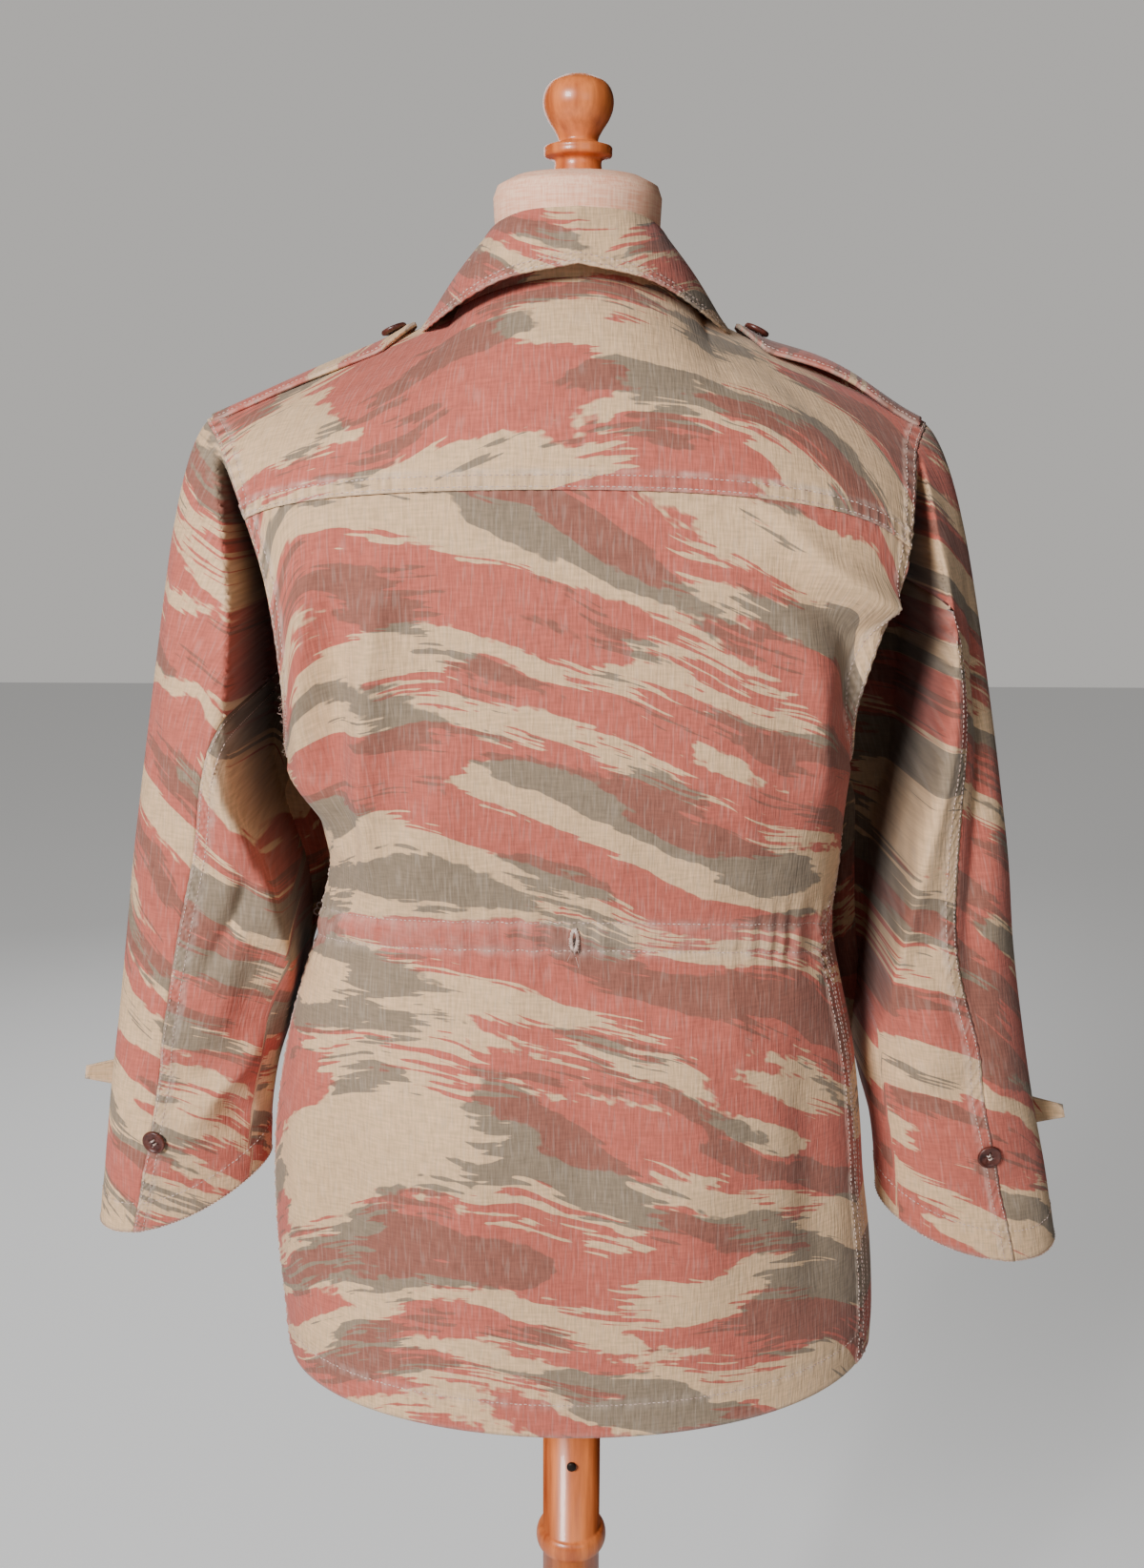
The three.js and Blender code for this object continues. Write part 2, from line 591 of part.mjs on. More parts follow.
// Draws the outermost rows and columns in by half a seam gap, to part a panel from its neighbours.
function trim(grid, edges) {
  const pull = (edge, inside) => {
    const square = edge.map((cell, i) => {
      const along = edge[Math.min(i + 1, edge.length - 1)].point.clone().sub(edge[Math.max(i - 1, 0)].point);
      const inwards = inside[i].point.clone().sub(cell.point);
      return inwards.projectOnPlane(along.normalize()).normalize();
    });
    edge.forEach((cell, i) => cell.point.addScaledVector(square[i], SEAM_GAP / 2));
  };
  const columnOf = (i) => grid.map((row) => row.at(i));
  if (edges.includes("start")) pull(columnOf(0), columnOf(1));
  if (edges.includes("end")) pull(columnOf(-1), columnOf(-2));
  if (edges.includes("bottom")) pull(grid[0], grid[1]);
  if (edges.includes("top")) pull(grid.at(-1), grid.at(-2));
}

// A closed solid between a grid's outer points and the same points moved in by the thickness.
// The outer points may first be raised off the cloth that the piece lies on.
function wall(grid, thickness, raised = 0) {
  const rows = grid.length;
  const columns = grid[0].length;
  const vertices = [];
  for (const depth of [raised, raised - thickness]) {
    for (const { point, normal } of grid.flat()) {
      vertices.push(...point.clone().addScaledVector(normal, depth).toArray());
    }
  }
  const faces = [];
  const at = (j, i, layer) => layer * rows * columns + j * columns + i;
  const quad = (a, b, c, d) => faces.push(a, b, c, a, c, d);
  for (let j = 0; j < rows - 1; j += 1) {
    for (let i = 0; i < columns - 1; i += 1) {
      quad(at(j, i, 0), at(j, i + 1, 0), at(j + 1, i + 1, 0), at(j + 1, i, 0));
      quad(at(j, i, 1), at(j + 1, i, 1), at(j + 1, i + 1, 1), at(j, i + 1, 1));
    }
  }
  const end = rows - 1;
  for (let i = 0; i < columns - 1; i += 1) {
    quad(at(0, i, 1), at(0, i + 1, 1), at(0, i + 1, 0), at(0, i, 0));
    quad(at(end, i, 0), at(end, i + 1, 0), at(end, i + 1, 1), at(end, i, 1));
  }
  const side = columns - 1;
  for (let j = 0; j < rows - 1; j += 1) {
    quad(at(j, 0, 0), at(j + 1, 0, 0), at(j + 1, 0, 1), at(j, 0, 1));
    quad(at(j, side, 1), at(j + 1, side, 1), at(j + 1, side, 0), at(j, side, 0));
  }
  // Faces point out whichever way the grid runs.
  const j = Math.floor((rows - 1) / 2);
  const i = Math.floor((columns - 1) / 2);
  const [a, b, c] = [grid[j][i], grid[j][i + 1], grid[j + 1][i]];
  const across = b.point.clone().sub(a.point);
  if (across.cross(c.point.clone().sub(a.point)).dot(a.normal) < 0) faces.reverse();
  const geometry = new THREE.BufferGeometry();
  geometry.setAttribute("position", new THREE.Float32BufferAttribute(vertices, 3));
  geometry.setIndex(faces);
  return geometry;
}

const steps = (from, to, count) =>
  Array.from({ length: count + 1 }, (_, i) => from + ((to - from) * i) / count);
const outFrom = (point) => new THREE.Vector3(point.x, point.y, 0);

// Back panel and yoke

const lowerLevels = [...steps(HEM_Z, 1040, 7), 1062, 1081, 1100, 1119, 1142, 1174, UNDERARM_LEVEL];
const overArms = (top, rows) => {
  const turning = UNDERARM_ROWS.map((rise) => UNDERARM_LEVEL + rise);
  return [...turning, ...steps(turning.at(-1), top, rows).slice(1)];
};
const backLevels = [...lowerLevels, ...overArms(YOKE_Z, BACK_ROWS)];
const neckColumns = steps(0, NECK_SHARE, NECK_COLUMNS);
const halfBack = [...neckColumns.slice(1), ...steps(NECK_SHARE, FELL_EDGE, BACK_COLUMNS).slice(1), 1];
const backColumns = [...halfBack.map((u) => -u).reverse(), 0, ...halfBack];

function backNormal(u, level) {
  const point = backAt(u, level);
  const atArmhole = Math.abs(u) === 1 && point.z > UNDERARM_Z - 1;
  if (atArmhole) return armholeNormal(Math.sign(u), point);
  return normalOf(backAt, u, level, 0.012, 2, outFrom(point));
}

function yokeNormal(u, t) {
  const side = u >= 0 ? 1 : -1;
  if (Math.abs(u) === 1) return armholeNormal(side, yokeAt(u, t));
  if (t === 0) return backNormal(u, YOKE_Z);
  if (t === 1) return topNormal(side, 1, Math.abs(u));
  return normalOf(yokeAt, u, t, 0.012, 0.02, new THREE.Vector3(0, 1, 1));
}

const back = panel(backLevels, backColumns, backAt, backNormal);
trim(back, ["top"]);
trim(back.slice(0, lowerLevels.length - 1), ["start", "end"]);
addPiece("back_panel", wall(back, CLOTH), "cloth");

const yoke = panel(steps(0, 1, YOKE_ROWS), backColumns, yokeAt, yokeNormal);
trim(yoke, ["bottom", "top"]);
addPiece("back_yoke", wall(yoke, CLOTH), "cloth");

// Fronts: the left one laps over the right one. Their rows run from the hem to the chest, then
// on over the shoulder, numbered past 1.

const frontLevels = [...lowerLevels, ...overArms(CHEST_Z, FRONT_ROWS)];
const chestRows = steps(0, 1, CHEST_ROWS).slice(1);

function frontNormal(side, u, level) {
  const at = (a, b) => frontAt(side, a, b);
  const point = at(u, level);
  if (u === 1 && point.z > UNDERARM_Z - 1) return armholeNormal(side, point);
  return normalOf(at, u, level, 0.012, 2, outFrom(point));
}

function chestNormal(side, u, t) {
  const at = (a, b) => chestAt(side, a, b);
  if (u === 1) return armholeNormal(side, at(u, t));
  if (t === 1) return topNormal(side, -1, u);
  return normalOf(at, u, t, 0.012, 0.02, new THREE.Vector3(0, -1, 0.6));
}

for (const side of [1, -1]) {
  const columns = [-LAP_SHARE, ...neckColumns, ...steps(NECK_SHARE, FELL_EDGE, FRONT_COLUMNS).slice(1), 1];
  const lower = panel(frontLevels, columns, (u, z) => frontAt(side, u, z), (u, z) => frontNormal(side, u, z));
  const upper = panel(chestRows, columns, (u, t) => chestAt(side, u, t), (u, t) => chestNormal(side, u, t));
  const front = [...lower, ...upper];
  if (side < 0) {
    for (const row of front) {
      row.forEach(({ point, normal }, i) => {
        const under = 1 - smoothstep(columns[i], 1.9 * LAP_SHARE, 3.4 * LAP_SHARE);
        point.addScaledVector(normal, -LAP_DEPTH * under);
      });
    }
  }
  trim(front, ["top"]);
  trim(front.slice(0, lowerLevels.length - 1), ["end"]);
  addPiece(`front_${sideName(side)}`, wall(front, CLOTH), "cloth");
}

// Sleeves, each of an upper and an under piece

const sleeveRows = [...steps(0, CAP_SHARE, CAP_ROWS), ...steps(CAP_SHARE, 1, SLEEVE_ROWS).slice(1)];

function sleeveNormal(side, turn, along) {
  if (along === 0) return armholeNormal(side, sleeveStart(side, turn).point);
  const at = (a, b) => sleeveAt(side, a, b);
  const hint = at(turn, along).sub(sleeveMiddle(side, along));
  return normalOf(at, turn, along, 0.008, Math.min(0.01, along), hint);
}

// The turns of the body's own points round an armhole, from the underarm through the front to the
// tip (below 0) and on through the back (above 0), so that both pieces bend at the same places.
function armholeTurns(side) {
  const frontEdge = frontLevels.slice(lowerLevels.length - 1).map((level) => frontAt(side, 1, level).z);
  const backEdge = backLevels.slice(lowerLevels.length - 1).map((level) => backAt(side, level).z);
  const onFront = frontEdge.map((z) => armholeTurn(side, -1, z) - 1);
  const onChest = chestRows.map((t) => shoulderTurn(side, -1, t) - 1);
  const onYoke = steps(0, 1, YOKE_ROWS).map((t) => shoulderTurn(side, 1, t)).reverse().slice(1);
  const onBack = backEdge.map((z) => armholeTurn(side, 1, z)).reverse().slice(1);
  return [...onFront, ...onChest, ...onYoke, ...onBack];
}

const nearest = (list, value) =>
  list.reduce((best, item, i) => (Math.abs(item - value) < Math.abs(list[best] - value) ? i : best), 0);

const sleeveGrids = {};
for (const side of [1, -1]) {
  const turns = armholeTurns(side);
  const frontSeam = nearest(turns, sleeveSeam("front", 0) - 1);
  const backSeam = nearest(turns, sleeveSeam("back", 0));
  const upper = turns.slice(frontSeam, backSeam + 1);
  const under = [...turns.slice(backSeam), ...turns.slice(1, frontSeam + 1).map((turn) => turn + 1)];
  for (const [name, starts] of [["upper", upper], ["under", under]]) {
    const last = starts.length - 1;
    const first = name === "under" ? FELL_WIDTH_SHARE : 1 / last;
    const shareOf = (i) => (i === 0 ? 0 : first + ((1 - first) * (i - 1)) / (last - 1));
    const turnAt = (i, along) => {
      const from = name === "upper" ? sleeveSeam("front", along) - 1 : sleeveSeam("back", along);
      const to = name === "upper" ? sleeveSeam("back", along) : sleeveSeam("front", along);
      const even = THREE.MathUtils.lerp(from, to, shareOf(i));
      return THREE.MathUtils.lerp(starts[i], even, smoothstep(along, 0, 0.3));
    };
    const sleeve = panel(
      sleeveRows,
      starts.map((_, i) => i),
      (i, along) => sleeveAt(side, turnAt(i, along), along),
      (i, along) => sleeveNormal(side, turnAt(i, along), along),
    );
    trim(sleeve, ["start", "end"]);
    sleeveGrids[`${sideName(side)}_${name}`] = sleeve;
    addPiece(`sleeve_${sideName(side)}_${name}`, wall(sleeve, CLOTH), "cloth");
  }
}

// Felled seams: doubled strips made from the edge points of the panels that they lie on

const strip = (rows, from, to) => rows.map((row) => row.slice(from, to));
const FELL_LIFT = FELL + SEAM_GAP;

for (const side of [1, -1]) {
  const name = sideName(side);
  const onSleeve = strip(sleeveGrids[`${name}_under`].slice(CAP_ROWS - 3), 0, 2);
  addPiece(`sleeve_seam_${name}`, wall(onSleeve, FELL, FELL_LIFT), "cloth");
  const edge = side > 0 ? [-2, undefined] : [0, 2];
  const below = strip(back.slice(0, lowerLevels.length - 2), ...edge);
  addPiece(`side_seam_${name}`, wall(below, FELL, FELL_LIFT), "cloth");
}

// Collar: one wall that rises from the neck seam as the stand and folds over as the fall. The
// side that shows faces the neck on the stand and outwards on the fall.

function collarAt(degrees, share) {
  const side = degrees >= 0 ? 1 : -1;
  const at = Math.abs(degrees);
  const turn = THREE.MathUtils.degToRad(at);
  const out = new THREE.Vector3(side * Math.sin(turn), Math.cos(turn), 0);
  const value = (name) => column(COLLAR, "at", name, at);
  const wide = side > 0 ? 1 : COLLAR_RIGHT;
  const fold = new THREE.Vector3(side * wide * value("foldX"), value("foldY"), value("foldZ"));
  const edge = new THREE.Vector3(side * wide * value("edgeX"), value("edgeY"), value("edgeZ"));
  const seat = neckPoint(side, at).addScaledVector(neckNormal(side, at), -CLOTH);
  seat.addScaledVector(new THREE.Vector3(-out.x, -out.y, 1).normalize(), SEAM_GAP);
  const off = (from, outwards, down) => from.clone().addScaledVector(out, outwards).setZ(from.z - down);
  const profile = [
    seat,
    off(seat.clone().lerp(fold, 0.5), -0.8, 0),
    off(fold, -FOLD_HALF, 4.5),
    fold,
    off(fold, FOLD_HALF + 0.8, 3.2),
    off(fold.clone().lerp(edge, 0.45), 1.8, -1.2),
    edge,
  ];
  return new THREE.CatmullRomCurve3(profile, false, "catmullrom", 0.5).getPoint(share);
}

const collarColumns = steps(-COLLAR_END, COLLAR_END, (COLLAR_END / 90) * NECK_COLUMNS * 2);
const collarRows = [0, 0.17, 0.3, 0.4, 0.5, 0.6, 0.7, 0.85, 1];
const collar = panel(collarRows, collarColumns, collarAt, (degrees, share) => {
  const side = degrees >= 0 ? 1 : -1;
  if (share === 0) return neckNormal(side, Math.abs(degrees)).negate();
  const before = collarAt(degrees, share - 0.02);
  const after = collarAt(degrees, Math.min(share + 0.02, 1));
  const step = Math.abs(degrees) < COLLAR_END ? 2 : 0;
  const across = collarAt(degrees + 2, share).sub(collarAt(degrees - Math.max(step, 2), share));
  return across.cross(after.sub(before)).normalize();
});
addPiece("collar", wall(collar, CLOTH), "cloth");

// Buttons: a turned disc with a raised rim

function buttonGeometry() {
  const profile = [
    [0, 0],
    [BUTTON_R * 0.92, 0],
    [BUTTON_R, BUTTON_H * 0.6],
    [BUTTON_R * 0.84, BUTTON_H],
    [0, BUTTON_H * 0.8],
  ];
  const points = profile.map(([r, z]) => new THREE.Vector2(r, z));
  return new THREE.LatheGeometry(points, 12).rotateX(Math.PI / 2);
}

function addButton(name, point, normal, lift) {
  const mesh = addPiece(name, buttonGeometry(), "button");
  mesh.position.copy(point).addScaledVector(normal, lift);
  mesh.quaternion.setFromUnitVectors(new THREE.Vector3(0, 0, 1), normal);
}

FRONT_BUTTON_LEVELS.forEach((level, i) => {
  const normal = frontNormal(1, 0, level);
  addButton(`front_button_${i + 1}`, frontAt(1, 0, level), normal, SEAM_GAP);
});

// Shoulder straps, over the shoulder seam, with a button at the pointed inner end

function shoulderAt(side, u, share) {
  const t = 1 - Math.abs(share) * STRAP_SHARE;
  return share >= 0 ? yokeAt(side * u, t) : chestAt(side, u, t);
}

function shoulderNormal(side, u, share) {
  const across = shoulderAt(side, u + 0.01, share).sub(shoulderAt(side, u - 0.01, share));
  const over = shoulderAt(side, u, share + 0.3).sub(shoulderAt(side, u, share - 0.3));
  const normal = across.cross(over).normalize();
  return normal.z < 0 ? normal.negate() : normal;
}

for (const side of [1, -1]) {
  const tip = Math.abs(armholes[side].getPoint(0).x);
  const uAt = (x) => NECK_SHARE + ((1 - NECK_SHARE) * (x - NECK_HALF)) / (tip - NECK_HALF);
  const start = uAt(tip - STRAP_START);
  const end = uAt(STRAP_END_X[sideName(side)]);
  const bow = STRAP_BOW[sideName(side)];
  const narrow = (share) => (share < 0.86 ? 1 : 1 - (0.88 * (share - 0.86)) / 0.14);
  const liftAt = (share) => bow * Math.sin(Math.PI * share) ** 2 + TIP_LIFT * smoothstep(share, 0.8, 1);
  const strap = steps(0, 1, 14).map((share) =>
    steps(-1, 1, 4).map((across) => {
      const u = THREE.MathUtils.lerp(start, end, share);
      const normal = shoulderNormal(side, u, across);
      const point = shoulderAt(side, u, across * narrow(share)).addScaledVector(normal, liftAt(share));
      return { point, normal };
    }),
  );
  addPiece(`shoulder_strap_${sideName(side)}`, wall(strap, STRAP, STRAP + STRAP_REST), "cloth");
  const u = THREE.MathUtils.lerp(start, end, STRAP_BUTTON_SHARE);
  const onStrap = liftAt(STRAP_BUTTON_SHARE) + STRAP + STRAP_REST + 3 * SEAM_GAP;
  addButton(`strap_button_${sideName(side)}`, shoulderAt(side, u, 0), shoulderNormal(side, u, 0), onStrap);
}

// Cuff buttons on the back seams

for (const side of [1, -1]) {
  const along = CUFF_BUTTON_ALONG[sideName(side)];
  const turn = sleeveSeam("back", along) + FELL_TURN;
  const lift = FELL + 2.2 * SEAM_GAP;
  addButton(`cuff_button_${sideName(side)}`, sleeveAt(side, turn, along), sleeveNormal(side, turn, along), lift);
}

// Cuff tabs: each lies on the front of its cuff and its pointed end stands off past the outer edge

for (const side of [1, -1]) {
  const { along, tipX, tipY, tipZ } = TAB[sideName(side)];
  const axis = sleeveMiddle(side, along - 0.04).sub(sleeveMiddle(side, along + 0.04)).normalize();
  const lines = [-1, 0, 1].map((across) => {
    const at = along - across * TAB_ALONG;
    const onSleeve = TAB_TURNS.map((turn) => {
      const lift = SEAM_GAP + STRAP + TAB_REST;
      return sleeveAt(side, turn, at).addScaledVector(sleeveNormal(side, turn, at), lift);
    });
    const tip = new THREE.Vector3(side * tipX, tipY, tipZ).addScaledVector(axis, across * TAB_HALF);
    return new THREE.CatmullRomCurve3([...onSleeve, tip], false, "catmullrom", 0.5);
  });
  const narrow = (share) => (share < 0.78 ? 1 : 1 - (0.88 * (share - 0.78)) / 0.22);
  const tab = steps(0, 1, 12).map((share) => {
    const middle = lines[1].getPoint(share);
    return lines.map((line) => {
      const point = middle.clone().lerp(line.getPoint(share), narrow(share));
      const normal = lines[1].getTangent(share).cross(axis).normalize();
      if (normal.y > 0) normal.negate();
      return { point, normal };
    });
  });
  addPiece(`cuff_tab_${sideName(side)}`, wall(tab, STRAP), "cloth");
}

// Dress form: a closed linen body with a domed cap on its neck

function formGeometry() {
  const vertices = [];
  for (const { z, half, back: behind, front: before, power } of FORM) {
    for (let i = 0; i < FORM_COLUMNS; i += 1) {
      const angle = (2 * Math.PI * i) / FORM_COLUMNS;
      const round = roundness(angle, power);
      const depth = Math.sin(angle) > 0 ? behind : before;
      const y = FORM_Y + depth * Math.sin(angle) * round;
      const across = Math.cos(angle) > 0 ? half * FORM_LEFT : half;
      vertices.push(across * Math.cos(angle) * round, y, z);
    }
  }
  const bottom = vertices.length / 3;
  vertices.push(0, FORM_Y, FORM[0].z, 0, FORM_Y, CAP_TOP_Z);
  const faces = [];
  const at = (j, i) => j * FORM_COLUMNS + (i % FORM_COLUMNS);
  for (let i = 0; i < FORM_COLUMNS; i += 1) {
    for (let j = 0; j < FORM.length - 1; j += 1) {
      faces.push(at(j, i), at(j, i + 1), at(j + 1, i + 1), at(j, i), at(j + 1, i + 1), at(j + 1, i));
    }
    faces.push(bottom, at(0, i + 1), at(0, i));
    faces.push(bottom + 1, at(FORM.length - 1, i), at(FORM.length - 1, i + 1));
  }
  const geometry = new THREE.BufferGeometry();
  geometry.setAttribute("position", new THREE.Float32BufferAttribute(vertices, 3));
  geometry.setIndex(faces);
  return geometry;
}

addPiece("form_torso", formGeometry(), "linen");

// Turned wood

function turned(profile, from, to, sides) {
  const points = [[0, from], ...profile, [0, to]].map(([r, z]) => new THREE.Vector2(r, z));
  return new THREE.LatheGeometry(points, sides).rotateX(Math.PI / 2);
}

const finialFoot = CAP_TOP_Z + SEAM_GAP;
const finial = addPiece("finial", turned(FINIAL.map(({ r, z }) => [r, z]), 0, FINIAL_H, 16), "wood");
finial.position.set(0, FORM_Y, finialFoot);

const poleFoot = BASE_H + SEAM_GAP;
const poleTop = FORM[0].z - SEAM_GAP;
const bead = steps(-1, 1, 6).map((share) => [
  POLE_R + (POLE_BEAD_R - POLE_R) * Math.sqrt(1 - share * share),
  POLE_BEAD_Z + share * POLE_BEAD_HALF,
]);
addPiece("pole", turned([[POLE_R, poleFoot], ...bead, [POLE_R, poleTop]], poleFoot, poleTop, 20), "wood");

const baseProfile = [
  [BASE_R - 4, 0],
  [BASE_R, 4],
  [BASE_R, BASE_H * 0.5],
  [BASE_R - 8, BASE_H * 0.82],
  [BASE_R - 20, BASE_H * 0.9],
  [BASE_R - 26, BASE_H],
];
addPiece("base", turned(baseProfile, 0, BASE_H, 32), "wood");

const screw = addPiece("pole_screw", new THREE.CylinderGeometry(SCREW_R, SCREW_R, SCREW_H, 10), "steel");
screw.position.set(0, POLE_R + SEAM_GAP + SCREW_H / 2, SCREW_Z);

export default part;
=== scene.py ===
# A men's field jacket on a limbless dress form. Metres, +Z up; the form faces -Y, so the jacket's
# back is +Y and its left side +X. Cloth is worked out in millimetres and turned to metres as it
# becomes a mesh.
import math

import bpy
import numpy as np
from mathutils import Matrix, Vector


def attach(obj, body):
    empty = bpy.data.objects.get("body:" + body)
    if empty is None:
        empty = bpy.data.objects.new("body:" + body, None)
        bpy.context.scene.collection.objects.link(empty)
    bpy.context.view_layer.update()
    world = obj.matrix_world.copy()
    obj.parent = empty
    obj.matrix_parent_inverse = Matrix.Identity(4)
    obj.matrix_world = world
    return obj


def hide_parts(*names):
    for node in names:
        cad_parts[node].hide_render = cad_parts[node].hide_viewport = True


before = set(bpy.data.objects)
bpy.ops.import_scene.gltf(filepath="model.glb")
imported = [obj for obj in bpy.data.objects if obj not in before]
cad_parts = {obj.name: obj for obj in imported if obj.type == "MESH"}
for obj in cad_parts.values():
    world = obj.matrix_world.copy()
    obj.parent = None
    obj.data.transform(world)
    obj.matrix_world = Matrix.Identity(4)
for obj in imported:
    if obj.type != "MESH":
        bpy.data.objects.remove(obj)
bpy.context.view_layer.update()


# ---- Camera, floor and light ----
# The picture was taken from about neck height and a metre behind the form's middle, with the
# camera tipped down by 12.6 degrees.

SENSOR_MM, PHOTO_FOCUS_PIXELS, PHOTO_HEIGHT_PIXELS = 36, 1580, 1645
CAMERA_AT, CAMERA_TIP, CAMERA_ROLL = (0.002, 1.0, 1.4), 12.6, 0.27
FLOOR_HALF = 8


def put(name, data):
    """Adds an object to the scene, at the origin and unturned."""
    made = bpy.data.objects.new(name, data)
    bpy.context.scene.collection.objects.link(made)
    return made


camera = put("camera", bpy.data.cameras.new("camera"))
bpy.context.scene.camera = camera
camera.data.sensor_fit = "VERTICAL"
camera.data.sensor_height = SENSOR_MM
camera.data.lens = SENSOR_MM * PHOTO_FOCUS_PIXELS / PHOTO_HEIGHT_PIXELS
camera.data.clip_end = 20
camera.matrix_world = (
    Matrix.Translation(CAMERA_AT)
    @ Matrix.Rotation(math.pi, 4, "Z")
    @ Matrix.Rotation(math.radians(90 - CAMERA_TIP), 4, "X")
    @ Matrix.Rotation(math.radians(CAMERA_ROLL), 4, "Z")
)


def linear(colour):
    """A colour written as sRGB hex, as the linear values that a shader takes."""
    parts = [int(colour[i:i + 2], 16) / 255 for i in (1, 3, 5)]
    return tuple(c / 12.92 if c <= 0.04045 else ((c + 0.055) / 1.055) ** 2.4 for c in parts) + (1.0,)


def add(tree, kind, settings=None, sockets=None):
    """Adds a node to a tree. A socket's value may be another node's output, which is linked."""
    made = tree.nodes.new(kind)
    for name, value in (settings or {}).items():
        setattr(made, name, value)
    for name, value in (sockets or {}).items():
        if isinstance(value, bpy.types.NodeSocket):
            tree.links.new(value, made.inputs[name])
        else:
            made.inputs[name].default_value = value
    return made


def material(name, values):
    """A new material, its node tree and its shader, whose own sockets take the values."""
    made = bpy.data.materials.new(name)
    made.use_nodes = True
    shader = made.node_tree.nodes["Principled BSDF"]
    for socket, value in values.items():
        shader.inputs[socket].default_value = value
    return made, made.node_tree, shader


paper, tree, shader = material("studio paper", {
    "Base Color": linear("#D9DADB"), "Roughness": 0.9, "Emission Color": linear("#DAD8D5")})
seen = add(tree, "ShaderNodeLightPath").outputs["Is Camera Ray"]
glow = add(tree, "ShaderNodeMath", {"operation": "MULTIPLY"}, {0: seen, 1: 0.42}).outputs["Value"]
tree.links.new(glow, shader.inputs["Emission Strength"])
floor_mesh = bpy.data.meshes.new("floor")
corners = [(x * FLOOR_HALF, y * FLOOR_HALF, 0) for x, y in ((-1, -1), (1, -1), (1, 1), (-1, 1))]
floor_mesh.from_pydata(corners, [], [(0, 1, 2, 3)])
floor_mesh.materials.append(paper)
floor = put("floor", floor_mesh)

world = bpy.data.worlds.new("studio")
bpy.context.scene.world = world
world.use_nodes = True
tree = world.node_tree
background = tree.nodes["Background"]
background.inputs["Color"].default_value = linear("#E9E6E2")
seen = add(tree, "ShaderNodeLightPath").outputs["Is Camera Ray"]
glow = add(tree, "ShaderNodeMath", {"operation": "MULTIPLY_ADD"}, {0: seen, 1: 0.59, 2: 0.03})
tree.links.new(glow.outputs["Value"], background.inputs["Strength"])

# A large window-like light above on the wearer's left, a weaker one opposite, and one from in
# front so that the jacket's front isn't dark. Each has a place, a size and a power.
LIGHTS_AIM = Vector((0, 0, 1.15))
for name, place, size, power in (
    ("window", (1.6, 2.45, 2.4), 0.9, 155),
    ("fill", (-1.2, 2.8, 1.9), 1.4, 11),
    ("front fill", (0.6, -2.6, 2.2), 2.0, 30),
):
    lamp = bpy.data.lights.new(name, "AREA")
    lamp.size = size
    lamp.energy = power
    facing = (LIGHTS_AIM - Vector(place)).to_track_quat("-Z", "Y").to_matrix().to_4x4()
    put(name, lamp).matrix_world = Matrix.Translation(place) @ facing


# ---- Jacket cloth ----
# Cotton twill, washed soft, printed with brush strokes of brick and grey on tan. Strokes run
# across the cloth and end in dry streaks; where both colours meet they turn brown.

# How far, in metres, the strokes arch at a metre from a panel's middle, wave and ripple
ARCH, WAVE, RIPPLE = 1.25, 0.11, 0.018
BRICK_STROKES = {"scale": (5.6, 21.0), "shift": (3.3, 5.6, 0), "turn": 0.03, "level": 0.487}
GREY_STROKES = {"scale": (6.8, 25.0), "shift": (9.4, 1.2, 0), "turn": 0.07, "level": 0.548}
STROKE_EDGE, SPECKS = 0.008, 0.075
WORN_COLOUR, SLUB_COLOUR = "#DCC8B8", "#E2D3C4"


